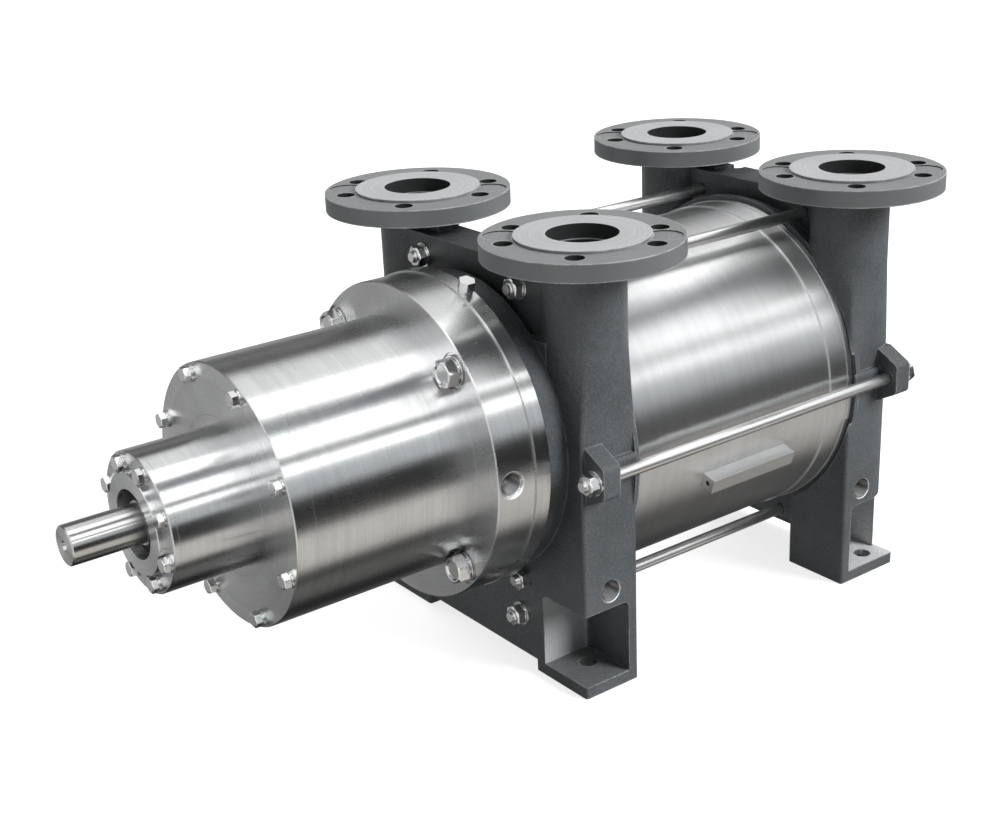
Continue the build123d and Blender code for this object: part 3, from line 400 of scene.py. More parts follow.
class HandlingMarks(EffectGroup):
    """Faint cloudy marks and wipes on bare metal."""

    name = "handling_marks"
    inputs = {"Patches": 18.0}
    stretch = (0.6, 1.0, 1.4)
    marked = (0.42, 0.70)

    def fill(self, graph: Graph, given: bpy.types.Node) -> dict[str, Socket]:
        """Stretches cloudy noise a little. See EffectGroup.fill."""
        place = graph.vector("MULTIPLY", graph.place(), self.stretch)
        cloud = graph.noise(place, given.outputs["Patches"], detail=5.0, roughness=0.62)
        return {"Mask": graph.span(cloud, *self.marked)}


EDGE_WEAR_AND_HIGHLIGHT = EdgeWearAndHighlight()
TURNING_LINES = TurningLines()
CAST_GRAIN = CastGrain()
HANDLING_MARKS = HandlingMarks()


@dataclass(frozen=True)
class Finish:
    """A material with its name and the record's slot that it stands for."""

    name: str
    slot: str
    edge: float = 0.8 * MM

    def build(self, graph: Graph, shader: bpy.types.Node) -> None:
        """Fills the shader's sockets.

        Args:
            graph: the material's tree.
            shader: its Principled BSDF.
        """
        raise NotImplementedError

    def material(self) -> bpy.types.Material:
        """Gives the material, built at the first call."""
        if self.name in bpy.data.materials:
            return bpy.data.materials[self.name]
        made = bpy.data.materials.new(self.name)
        made.use_nodes = True
        shader = made.node_tree.nodes["Principled BSDF"]
        self.build(Graph(made.node_tree), shader)
        return made

    def rounded(self, graph: Graph) -> Socket:
        """Gives the normal with this finish's small rounded edges.

        Args:
            graph: the material's tree.

        Returns:
            The rounded normal.
        """
        if self.edge == 0:
            return graph.normal()
        bevel = graph.add("ShaderNodeBevel", samples=BEVEL_SAMPLES)
        graph.feed_all(bevel, radius=self.edge)
        return bevel.outputs[0]

    def relief(self, graph: Graph, height: Source, depth: float, strength: float = 1.0) -> Socket:
        """Gives the rounded normal with a height laid over it.

        Args:
            graph: the material's tree.
            height: the height from 0 to 1.
            depth: how deep a height of 1 is.
            strength: how much of the relief shows.

        Returns:
            The normal.
        """
        bump = graph.add("ShaderNodeBump")
        graph.feed_all(bump, strength=strength, distance=depth, height=height, normal=self.rounded(graph))
        return bump.outputs[0]


@dataclass(frozen=True)
class CastPaint(Finish):
    """Dark grey paint on a rough casting, with machined flanges and raised faces, painted glints and edge highlights,
    painted light in the feet and painted shade in the holes.
    """

    # The paint, its darkest and lightest tones, the painted glints on its grains, and the painted highlight on its
    # rounded edges.
    colour: Colour = (0.090, 0.099, 0.105)
    tones: tuple[float, float] = (0.80, 1.22)
    glint: float = 1.45
    glint_share: float = 0.5
    # worn is the painted highlight on the paint's rounded edges.
    worn: Colour = (0.50, 0.51, 0.52)
    edge_highlight_share: float = 0.85
    wear_and_highlight_width: float = 2.6 * MM
    wear_and_highlight_breakup: float = 60.0
    # The machined metal: the painted highlight on its edges, the flange's rim with painted shade, its top and the
    # raised face, and how metallic it is.
    # bright is the painted highlight on the machined metal's rounded edges.
    bright: Colour = (0.90, 0.90, 0.90)
    # rim is painted shade: the flange's machined side is made darker than its top.
    rim: Colour = (0.20, 0.21, 0.215)
    bare: Colour = (0.33, 0.34, 0.345)
    face: Colour = (0.64, 0.65, 0.66)
    sheen: float = 0.32
    # Turning rings in a metre, and how dark and light they are.
    rings: float = 400.0
    ring_tones: tuple[float, float] = (0.88, 1.08)
    # The painted light on places in the feet, and the painted shade on the walls of the nozzles' holes.
    # foot is the painted light on those places.
    foot: Colour = (0.78, 0.79, 0.80)
    # hole is the painted shade on the walls of the holes.
    hole: Colour = (0.035, 0.037, 0.038)
    # The heights where the flange and its raised face begin.
    bare_from: float = 421.6 * MM
    face_from: float = 439.4 * MM
    face_soft: float = 0.3 * MM
    # The painted light lies from this distance along and across the pump, up to this distance across and height.
    foot_from: tuple[float, float] = (150 * MM, 104 * MM)
    foot_to: tuple[float, float] = (167.5 * MM, 86.5 * MM)
    # How much painted light a drive foot's top and its pocket's wall get, and the distance across that the wall lies
    # within.
    drive_top: float = 0.12
    drive_wall: float = 0.60
    wall_to: float = 108.0 * MM
    # The nozzles' place, and how far from it the holes with painted shade end and the raised face's own rim begins.
    nozzle: tuple[float, float] = (176 * MM, 128 * MM)
    rim_inside: float = 90 * MM
    step_inside: float = 50 * MM
    step_height: float = 0.6 * MM
    # The paint's roughness, what light tones and bare metal add to it, and its grains in a metre and their depth.
    roughness: float = 0.30
    rough_spread: float = 0.12
    rough_bare: float = 0.12
    grains: float = 380.0
    grain: float = 1.5 * MM

    def build(self, graph: Graph, shader: bpy.types.Node) -> None:
        """Fills the shader's sockets. See Finish.build."""
        grain = CAST_GRAIN.use(graph, grains=self.grains)
        highlit_edges = EDGE_WEAR_AND_HIGHLIGHT.use(graph, width=self.wear_and_highlight_width, breakup_scale=self.wear_and_highlight_breakup).outputs["Mask"]
        tone = graph.span(grain.outputs["Tone"], *NOISE_MIDDLE)
        paint = graph.blend(tone, *(scaled(self.colour, factor) for factor in self.tones))
        # Painted highlight: glints on the grain, lighter than the paint.
        glints = graph.times(grain.outputs["Speckle"], self.glint_share)
        paint = graph.blend(glints, paint, scaled(self.colour, self.glint))
        # Painted light: the lit places in the feet are lightened.
        paint = graph.blend(self.painted_foot_light(graph), paint, self.foot)
        # Painted highlight: the paint's rounded edges are lightened.
        paint = graph.blend(graph.times(highlit_edges, self.edge_highlight_share), paint, self.worn)
        height = graph.parts(graph.place())[2]
        bare = graph.above(height, self.bare_from)
        out = self.reach(graph)
        level = graph.span(graph.math("ABSOLUTE", graph.parts(graph.normal())[2]), *FACES_LEVEL)
        metal = graph.blend(graph.above(height, self.face_from, self.face_soft), self.bare, self.face)
        rings = graph.noise(graph.join(graph.times(out, self.rings), 0.0, 0.0), 1.0, detail=3.0, roughness=0.6)
        shade = graph.grey(graph.span(rings, *NOISE_WIDE, *self.ring_tones))
        # Painted shade: faces that are not level get the darker rim colour.
        metal = graph.vector("MULTIPLY", graph.blend(level, self.rim, metal), shade)
        # Painted highlight: the machined metal's rounded edges get the bright colour.
        skin = graph.blend(bare, paint, graph.blend(highlit_edges, metal, self.bright))
        rough = graph.math("MULTIPLY_ADD", tone, self.rough_spread, self.roughness)
        sand = graph.times(grain.outputs["Height"], graph.rest(bare))
        graph.feed_all(
            # Painted shade: the holes' walls are darkened.
            shader, base_color=graph.blend(self.holes(graph, height, out, level), skin, self.hole),
            metallic=graph.times(bare, self.sheen), normal=self.relief(graph, sand, self.grain),
            roughness=graph.math("MULTIPLY_ADD", bare, self.rough_bare, rough))

    def reach(self, graph: Graph) -> Socket:
        """Gives the level distance from the nearest nozzle's axis.

        Args:
            graph: the material's tree.

        Returns:
            The distance.
        """
        off = [
            graph.math("SUBTRACT", value, graph.times(graph.math("SIGN", value), middle))
            for value, middle in zip(graph.parts(graph.place()), self.nozzle)]
        return graph.vector("LENGTH", graph.join(*off, 0.0))

    def holes(self, graph: Graph, height: Socket, out: Socket, level: Socket) -> Socket:
        """Finds the walls of the nozzles' bores and bolt holes, where shade is painted dark.

        Args:
            graph: the material's tree.
            height: the shaded point's height.
            out: its distance from the nozzle's axis.
            level: the mask of the level faces.

        Returns:
            The mask.
        """
        step = graph.times(
            graph.above(height, self.face_from - self.step_height), graph.above(out, self.step_inside))
        return graph.times(
            graph.rest(level), graph.rest(graph.above(out, self.rim_inside)), graph.rest(step),
            graph.above(height, self.bare_from))

    def painted_foot_light(self, graph: Graph) -> Socket:
        """Finds where light is painted: the rear feet's tops and inner walls, and one wall of the drive feet's pockets.

        Args:
            graph: the material's tree.

        Returns:
            The mask.
        """
        x, y, z = graph.parts(graph.place())
        side = graph.math("ABSOLUTE", y)
        normal_x, normal_y, normal_z = graph.parts(graph.normal())
        rear = graph.above(x, 0.0)
        top = graph.times(graph.span(normal_z, *FACES_UP), graph.span(rear, 0.0, 1.0, self.drive_top, 1.0))
        back = graph.times(graph.span(normal_x, *FACES_DRIVE_END), rear)
        aside = graph.times(
            graph.span(graph.math("ABSOLUTE", normal_y), *FACES_ASIDE), self.drive_wall,
            graph.rest(graph.above(side, self.wall_to)), graph.rest(rear))
        return graph.times(
            graph.math("MAXIMUM", top, graph.math("MAXIMUM", back, aside)),
            graph.above(graph.math("ABSOLUTE", x), self.foot_from[0]), graph.above(side, self.foot_from[1]),
            graph.rest(graph.above(z, self.foot_to[1])), graph.rest(graph.above(side, self.foot_to[0])))


@dataclass(frozen=True)
class TurnedSteel(Finish):
    """Bright steel turned about a line along X, with the streaks that its rings give the reflections."""

    colour: Colour = (0.68, 0.685, 0.69)
    axis_height: float = SHAFT_HEIGHT
    roughness: float = 0.26
    anisotropy: float = 0.92
    lines_along: float = 900.0
    lines_out: float = 500.0
    line_depth: float = 0.0015 * MM
    fine_tones: tuple[float, float] = (0.95, 1.03)
    broad_tones: tuple[float, float] = (0.96, 1.03)
    patches: float = 16.0
    stain: float = 0.93
    smear: float = 0.03

    def build(self, graph: Graph, shader: bpy.types.Node) -> None:
        """Fills the shader's sockets. See Finish.build."""
        lines = TURNING_LINES.use(
            graph, axis_height=self.axis_height, lines_along=self.lines_along, lines_out=self.lines_out)
        marks = HANDLING_MARKS.use(graph, patches=self.patches).outputs["Mask"]
        fine = graph.span(lines.outputs["Lines"], *NOISE_WIDE, *self.fine_tones)
        broad = graph.span(lines.outputs["Broad"], *NOISE_MIDDLE, *self.broad_tones)
        tint = graph.blend(marks, self.colour, scaled(self.colour, self.stain))
        graph.feed_all(
            shader, base_color=graph.vector("MULTIPLY", tint, graph.grey(graph.times(fine, broad))), metallic=1.0,
            roughness=graph.math("MULTIPLY_ADD", marks, self.smear, self.roughness), anisotropic=self.anisotropy,
            tangent=self.spread(graph), normal=self.relief(graph, lines.outputs["Lines"], self.line_depth))

    def spread(self, graph: Graph) -> Socket:
        """Gives the direction across the rings, in which reflections spread.

        Args:
            graph: the material's tree.

        Returns:
            The direction in world space.
        """
        arm = graph.vector("SUBTRACT", graph.place(), (0.0, 0.0, self.axis_height))
        ring = graph.vector("CROSS_PRODUCT", (1.0, 0.0, 0.0), arm)
        turn = graph.add("ShaderNodeVectorTransform", vector_type="VECTOR", convert_from="OBJECT", convert_to="WORLD")
        graph.feed(turn.inputs[0], ring)
        return graph.vector("NORMALIZE", graph.vector("CROSS_PRODUCT", graph.normal(), turn.outputs[0]))


@dataclass(frozen=True)
class BrightFastener(Finish):
    """Bright fasteners with a satin skin, fine scratches and worn edges."""

    colour: Colour = (0.76, 0.76, 0.76)
    bright: Colour = (0.92, 0.92, 0.92)
    roughness: float = 0.20
    stain: float = 0.94
    patches: float = 60.0
    smear: float = 0.03
    scratches: float = 500.0
    scratch_depth: float = 0.004 * MM
    scratch_strength: float = 0.4
    wear_and_highlight_width: float = 0.6 * MM
    wear_and_highlight_breakup: float = 100.0

    def build(self, graph: Graph, shader: bpy.types.Node) -> None:
        """Fills the shader's sockets. See Finish.build."""
        marks = HANDLING_MARKS.use(graph, patches=self.patches).outputs["Mask"]
        skin = graph.blend(marks, self.colour, scaled(self.colour, self.stain))
        scratch = graph.noise(graph.place(), self.scratches, detail=2.0, roughness=0.5)
        graph.feed_all(
            shader, base_color=graph.blend(self.lighter(graph), skin, self.bright), metallic=1.0,
            roughness=graph.math("MULTIPLY_ADD", marks, self.smear, self.roughness),
            normal=self.relief(graph, scratch, self.scratch_depth, self.scratch_strength))

    def lighter(self, graph: Graph) -> Socket:
        """Finds where the metal is lighter: on its worn edges."""
        return EDGE_WEAR_AND_HIGHLIGHT.use(graph, width=self.wear_and_highlight_width, breakup_scale=self.wear_and_highlight_breakup).outputs["Mask"]


@dataclass(frozen=True)
class TappedSteel(BrightFastener):
    """The thread of a hole in a side wall: painted shade makes it dark inside, and a painted highlight makes the cone
    at its mouth bright.
    """

    # colour is painted shade inside the hole, and bright is the painted highlight on the cone at its mouth.
    colour: Colour = (0.24, 0.24, 0.24)
    bright: Colour = (0.88, 0.88, 0.88)
    bright_from: float = 150 * MM
    roughness: float = 0.30
    stain: float = 0.7
    patches: float = 90.0
    smear: float = 0.06
    scratches: float = 700.0
    scratch_depth: float = 0.006 * MM

    def lighter(self, graph: Graph) -> Socket:
        """Finds the cone at the hole's mouth, which gets the painted highlight. See BrightFastener.lighter."""
        return graph.above(graph.math("ABSOLUTE", graph.parts(graph.place())[1]), self.bright_from)


@dataclass(frozen=True)
class PlainStuff(Finish):
    """A material with an even skin: rubber, fibre, bronze or plated metal."""

    colour: Colour = (0.2, 0.2, 0.2)
    tones: tuple[float, float] = (0.85, 1.12)
    roughness: float = 0.5
    rough_spread: float = 0.1
    metallic: float = 0.0
    grains: float = 500.0
    depth: float = 0.05 * MM

    def build(self, graph: Graph, shader: bpy.types.Node) -> None:
        """Fills the shader's sockets. See Finish.build."""
        grain = CAST_GRAIN.use(graph, grains=self.grains)
        tone = graph.span(grain.outputs["Tone"], *NOISE_MIDDLE)
        skin = graph.blend(tone, *(scaled(self.colour, factor) for factor in self.tones))
        graph.feed_all(
            shader, base_color=skin, metallic=self.metallic,
            roughness=graph.math("MULTIPLY_ADD", tone, self.rough_spread, self.roughness),
            normal=self.relief(graph, grain.outputs["Height"], self.depth))


CAST_PAINT = CastPaint("cast_paint", "cast_grey", edge=1.0 * MM)
COVER_PAINT = CastPaint("cover_paint", "cast_grey", edge=1.2 * MM, bare_from=1.0, face_from=1.0)
LANTERN_STEEL = TurnedSteel("lantern_steel", "stainless", edge=0.7 * MM)
BARREL_STEEL = TurnedSteel(
    "barrel_steel", "stainless", edge=0.5 * MM, colour=(0.69, 0.695, 0.70), axis_height=BARREL_HEIGHT,
    roughness=0.40, lines_along=700.0)
SHAFT_STEEL = TurnedSteel("shaft_steel", "machined_steel", edge=0.3 * MM, colour=(0.62, 0.62, 0.62))
ROTOR_STEEL = TurnedSteel("rotor_steel", "machined_steel", edge=0.4 * MM, roughness=0.4)
BEARING_STEEL = TurnedSteel("bearing_steel", "bearing_steel", edge=0.3 * MM, roughness=0.22)
BAR_STEEL = BrightFastener("bar_steel", "stainless", edge=0.6 * MM, roughness=0.30)
ROD_STEEL = BrightFastener("rod_steel", "fastener_steel", edge=0.0, roughness=0.36, stain=1.0)
DRAIN_STEEL = TappedSteel("drain_steel", "machined_steel", edge=0.2 * MM, bright_from=166.6 * MM)
PORT_STEEL = TappedSteel("port_steel", "machined_steel", edge=0.2 * MM, bright_from=150.6 * MM)
FASTENER = BrightFastener("fastener_bright", "fastener_steel", edge=0.4 * MM)
BALL_STEEL = BrightFastener("ball_steel", "bearing_steel", edge=0.1 * MM, roughness=0.12)
BRONZE = PlainStuff("bronze", "bronze", colour=(0.60, 0.42, 0.20), roughness=0.32, metallic=1.0)
MAGNET = PlainStuff("magnet_plating", "magnet", colour=(0.50, 0.50, 0.49), roughness=0.3, metallic=1.0)
RUBBER = PlainStuff("seal_rubber", "seal_rubber", colour=(0.025, 0.025, 0.026), roughness=0.6)
FIBRE = PlainStuff("gasket_fibre", "gasket", colour=(0.16, 0.19, 0.17), roughness=0.8)


@dataclass(frozen=True)
class Island:
    """The box of one solid of a node."""

    low: Vector
    high: Vector

    @property
    def line(self) -> Line:
        """The Y and Z of the line along X through the box's middle."""
        middle = (self.low + self.high) / 2
        return middle.y, middle.z

    @property
    def side(self) -> Side:
        """The end of the pump where the box is."""
        return Side.DRIVE if self.low.x + self.high.x < 0 else Side.REAR


def islands(name: str) -> list[Island]:
    """Finds the separate solids of a CAD node.

    Args:
        name: the node.

    Returns:
        The box of each solid.
    """
    mesh = bmesh.new()
    mesh.from_mesh(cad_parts[name].data)
    bmesh.ops.remove_doubles(mesh, verts=mesh.verts, dist=MERGE_GAP)
    left = set(mesh.verts)
    found = []
    while left:
        stack = [left.pop()]
        corners = []
        while stack:
            vert = stack.pop()
            corners.append(vert.co.copy())
            for edge in vert.link_edges:
                other = edge.other_vert(vert)
                if other in left:
                    left.remove(other)
                    stack.append(other)
        low = Vector(tuple(min(c[k] for c in corners) for k in range(3)))
        high = Vector(tuple(max(c[k] for c in corners) for k in range(3)))
        found.append(Island(low, high))
    mesh.free()
    return sorted(found, key=lambda island: tuple(round(value, SORT_DIGITS) for value in island.low))


class Lathe:
    """Builds one mesh from turned and six-sided stretches along X."""

    def __init__(self, name: str, steps: int) -> None:
        """Starts an empty mesh.

        Args:
            name: the piece's name.
            steps: how many sides a round has.
        """
        self.name = name
        self.steps = steps
        self.mesh = bmesh.new()

    def ring(
            self, x: float, radius: float, line: Line = (0.0, 0.0), hexagon: float = 0.0, turn: float = 0.0) -> list:
        """Adds one closed ring of corners.

        Args:
            x: its place along the line.
            radius: its radius.
            line: the line's Y and Z.
            hexagon: the distance across flats that limits the radius, or 0 for a round.
            turn: how far a hexagon is turned, in radians.

        Returns:
            The ring's corners.
        """
        corners = []
        for k in range(self.steps):
            angle = math.tau * k / self.steps
            reach = radius
            if hexagon > 0:
                off = (angle + math.pi / 6) % (math.pi / 3) - math.pi / 6
                reach = min(radius, hexagon / 2 / math.cos(off))
            place = (x, line[0] + reach * math.cos(angle + turn), line[1] + reach * math.sin(angle + turn))
            corners.append(self.mesh.verts.new(place))
        return corners

    def skin(self, rings: Sequence[list], closed: bool = False) -> None:
        """Covers rings with faces, with lids at both ends unless the rings close on themselves.

        Args:
            rings: the rings in order.
            closed: whether the last ring joins the first.
        """
        pairs = list(zip(rings, rings[1:]))
        if closed:
            pairs.append((rings[-1], rings[0]))
        for a, b in pairs:
            for k in range(self.steps):
                n = (k + 1) % self.steps
                self.mesh.faces.new((a[k], a[n], b[n], b[k]))
        if not closed:
            self.mesh.faces.new(list(reversed(rings[0])))
            self.mesh.faces.new(rings[-1])

    def turned(self, profile: Sequence[tuple[float, float]], line: Line) -> None:
        """Adds a solid of revolution from its (x, radius) points, from one lid to the other."""
        self.skin([self.ring(x, radius, line) for x, radius in profile])

    def sleeve(self, profile: Sequence[tuple[float, float]], place: Matrix) -> None:
        """Adds a closed ring about the local X axis and puts it in place.

        Args:
            profile: (x, radius) points round the ring's section.
            place: where it goes.
        """
        rings = [self.ring(x, radius) for x, radius in profile]
        self.skin(rings, closed=True)
        corners = [corner for ring in rings for corner in ring]
        bmesh.ops.transform(self.mesh, matrix=place, verts=corners)

    def finish(self, finish: Finish, body: Body, smooth_to: float = 32.0) -> bpy.types.Object:
        """Makes the object and lets it ride on a body.

        Args:
            finish: its finish.
            body: the body that it rides on.
            smooth_to: the largest angle between faces that still looks round, in degrees.

        Returns:
            The new object.
        """
        bmesh.ops.recalc_face_normals(self.mesh, faces=self.mesh.faces)
        data = bpy.data.meshes.new(self.name)
        self.mesh.to_mesh(data)
        self.mesh.free()
        data.materials.append(finish.material())
        piece = bpy.data.objects.new(self.name, data)
        bpy.context.scene.collection.objects.link(piece)
        data.shade_smooth()
        data.set_sharp_from_angle(angle=math.radians(smooth_to))
        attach(piece, body.value)
        log.info("built %s with %d faces", self.name, len(data.polygons))
        return piece


@dataclass(frozen=True)
class HexOutline:
    """How every six-sided head is rounded off, in shares of the distance across flats, unless said otherwise."""

    foot_radius: float = 0.475
    foot_height: float = 0.04
    # Each pair: a height, and a share of the corner's radius.
    lower: tuple[tuple[float, float], ...] = ((0.045, 0.985), (0.09, 1.0))
    # Each pair: a share of the chamfer's height under the top, and a share of the corner's radius.
    upper: tuple[tuple[float, float], ...] = ((1.0, 1.0), (0.45, 0.965))
    top_radius: float = 0.455
    dish_rim: float = 0.40
    dish_floor: float = 0.34
    dish_step: float = 0.2 * MM
    washer_lip: float = 0.12


HEX_OUTLINE = HexOutline()


@dataclass(frozen=True)
class HexShape:
    """The sizes of a six-sided head or nut."""

    across: float
    height: float
    washer_radius: float = 0.0
    washer: float = 0.0
    chamfer: float = 0.09
    dish: float = 0.0

    def build(self, lathe: Lathe, face: float, side: Side, line: Line, turn: float) -> float:
        """Adds the head with its washer, standing on a face.

        Args:
            lathe: the mesh that it goes into.
            face: the X of the face.
            side: the way that it looks.
            line: its line's Y and Z.
            turn: how far it is turned, in radians.

        Returns:
            The X of its top.
        """
        s = side.value
        foot = face
        if self.washer > 0:
            lip = HEX_OUTLINE.washer_lip * self.washer
            lathe.turned([
                (foot, self.washer_radius - lip), (foot + s * lip, self.washer_radius),
                (foot + s * (self.washer - lip), self.washer_radius),
                (foot + s * self.washer, self.washer_radius - lip),
            ], line)
            foot += s * self.washer
        corner = self.across / 2 / math.cos(math.pi / 6)
        low = self.across * HEX_OUTLINE.foot_radius
        cut = self.across * self.chamfer
        top = foot + s * self.height
        sides = [(foot + s * height * self.across, share) for height, share in HEX_OUTLINE.lower]
        sides += [(top - s * height * cut, share) for height, share in HEX_OUTLINE.upper]
        rings = [lathe.ring(foot, low, line), lathe.ring(foot + s * HEX_OUTLINE.foot_height * self.across, low, line)]
        rings += [lathe.ring(x, corner * share, line, self.across, turn) for x, share in sides]
        rings.append(lathe.ring(top, self.across * HEX_OUTLINE.top_radius, line))
        if self.dish > 0:
            rings.append(lathe.ring(top - s * HEX_OUTLINE.dish_step, self.across * HEX_OUTLINE.dish_rim, line))
            rings.append(lathe.ring(top - s * self.dish, self.across * HEX_OUTLINE.dish_floor, line))
        lathe.skin(rings)
        return top


@dataclass(frozen=True)
class Thread:
    """The visible end of a threaded rod. Its shares are of the pitch, and the tip's is of the depth."""

    radius: float
    pitch: float = 1.75 * MM
    depth: float = 0.55
    crest: tuple[float, float] = (0.45, 0.55)
    tip: float = 1.4

    def build(self, lathe: Lathe, start: float, end: float, line: Line) -> None:
        """Adds the ridges from start to a rounded end.

        Args:
            lathe: the mesh that it goes into.
            start: the X where the thread comes out.
            end: the X of the rod's tip.
            line: its line's Y and Z.
        """
        s = 1.0 if end > start else -1.0
        depth = self.depth * self.pitch
        count = max(1, int((abs(end - start) - depth) / self.pitch))
        profile = [(start, self.radius - depth)]
        for k in range(count):
            low = start + s * self.pitch * k
            profile += [(low + s * share * self.pitch, self.radius) for share in self.crest]
            profile.append((low + s * self.pitch, self.radius - depth))
        profile.append((end, self.radius - self.tip * depth))
        lathe.turned(profile, line)


@dataclass(frozen=True)
class TappedHole:
    """The thread inside a tapped hole, with the cone at its mouth. Its shares are of the pitch."""

    radius: float
    depth: float
    cone: float
    pitch: float = 1.81 * MM
    height: float = 0.5
    root: float = 0.05
    crest: tuple[float, float] = (0.45, 0.60)
    skin: float = 0.03 * MM

    def build(self, lathe: Lathe, mouth: Vector, out: Vector) -> None:
        """Adds the lining of one hole.

        Args:
            lathe: the mesh that it goes into.
            mouth: the middle of the hole's mouth.
            out: the direction out of the hole.
        """
        crest = self.radius - self.height * self.pitch
        wall = self.radius - self.skin
        count = int((self.depth - self.cone) / self.pitch)
        profile = [(self.skin, wall + self.cone - 2 * self.skin)]
        for k in range(count):
            low = self.cone + self.pitch * k
            profile.append((low + self.root * self.pitch, wall - self.skin))
            profile += [(low + share * self.pitch, crest) for share in self.crest]
        end = self.cone + self.pitch * count
        profile += [(end, wall - self.skin), (end, wall), (self.cone + 2 * self.skin, wall)]
        profile.append((self.skin, wall + self.cone - self.skin))
        turn = (-out).to_track_quat("X", "Z").to_matrix().to_4x4()
        lathe.sleeve(profile, Matrix.Translation(mouth) @ turn)


def spin(index: int) -> float:
    """Gives each fastener its own chance angle by its number, in radians."""
    golden, sixth = 137.5, 60
    return math.radians(golden * index % sixth)


@dataclass
class FastenerRow:
    """A CAD node of like hexagon bolts or nutted studs, replaced by detailed ones."""

    node: str
    shape: HexShape
    stud_radius: float = 0.0
    stud_over: float = 0.0
    first: int = 0

    def build(self) -> None:
        """Builds the bolts and replaces the node."""
        lathe = Lathe(self.node + "_detailed", HEAD_STEPS)
        found = islands(self.node)
        for index, island in enumerate(found):
            tip = island.low.x if island.side is Side.DRIVE else island.high.x
            face = tip - island.side.value * (self.shape.height + self.shape.washer + self.stud_over)
            top = self.shape.build(lathe, face, island.side, island.line, spin(index + self.first))
            if self.stud_over > 0:
                start = top - island.side.value * THREAD_UNDER
                Thread(self.stud_radius).build(lathe, start, tip, island.line)
        piece = lathe.finish(FASTENER, Body.CASING)
        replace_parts(piece, self.node)
        log.info("%s has %d fasteners", self.node, len(found))


@dataclass
class TieRods:
    """The six long rods with their nuts and threaded ends."""

    nut: HexShape = HexShape(19 * MM, 10 * MM, chamfer=0.10)
    rod_radius: float = 6.0 * MM
    thread_reach: float = 34 * MM
    shoulder: tuple[float, float] = (1 * MM, 0.6 * MM)

    def build(self) -> None:
        """Builds the rods and nuts and replaces their nodes."""
        rods = Lathe("tie_rods_detailed", ROD_STEPS)
        for island in islands("tie_rods"):
            self.rod(rods, island)
        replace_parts(rods.finish(ROD_STEEL, Body.CASING), "tie_rods")
        nuts = Lathe("tie_rod_nuts_detailed", HEAD_STEPS)
        for index, island in enumerate(islands("tie_rod_nuts")):
            foot = island.high.x if island.side is Side.DRIVE else island.low.x
            self.nut.build(nuts, foot, island.side, island.line, spin(index))
        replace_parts(nuts.finish(FASTENER, Body.CASING), "tie_rod_nuts")

    def rod(self, lathe: Lathe, island: Island) -> None:
        """Adds one rod, smooth in the middle and threaded at both ends.

        Args:
            lathe: the mesh that it goes into.
            island: the CAD rod's box.
        """
        low, high = island.low.x, island.high.x
        run, drop = self.shoulder
        lathe.turned([
            (low + self.thread_reach - run, self.rod_radius - drop),
            (low + self.thread_reach, self.rod_radius),
            (high - self.thread_reach, self.rod_radius),
            (high - self.thread_reach + run, self.rod_radius - drop),
        ], island.line)
        thread = Thread(self.rod_radius)
        thread.build(lathe, low + self.thread_reach, low, island.line)
        thread.build(lathe, high - self.thread_reach, high, island.line)


@dataclass(frozen=True)
class HoleLining:
    """The threads of like tapped holes that open to the sides, as one piece."""

    name: str
    hole: TappedHole
    finish: Finish
    mouths: tuple[Place, ...]

    def build(self) -> None:
        """Lines the holes. A mouth on the near side looks to -Y, and one on the far side to Y."""
        lathe = Lathe(self.name, HOLE_STEPS)
        for mouth in self.mouths:
            self.hole.build(lathe, Vector(mouth), Vector((0.0, math.copysign(1.0, mouth[1]), 0.0)))
        lathe.finish(self.finish, Body.CASING)


@dataclass(frozen=True)
class Assembly:
    """A part of the pump: its CAD nodes with their finishes, its hole linings and its detailed fasteners."""

    finishes: tuple[tuple[Finish, tuple[str, ...]], ...]
    linings: tuple[HoleLining, ...] = ()
    rows: tuple[FastenerRow, ...] = ()

    def build(self) -> None:
        """Builds the linings and fasteners and dresses the nodes."""
        for piece in self.linings + self.rows:
            piece.build()
        for finish, names in self.finishes:
            for name in names:
                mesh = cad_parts[name].data
                mesh.materials.clear()
                mesh.materials.append(finish.material())
                log.info("dressed %s in %s", name, finish.name)


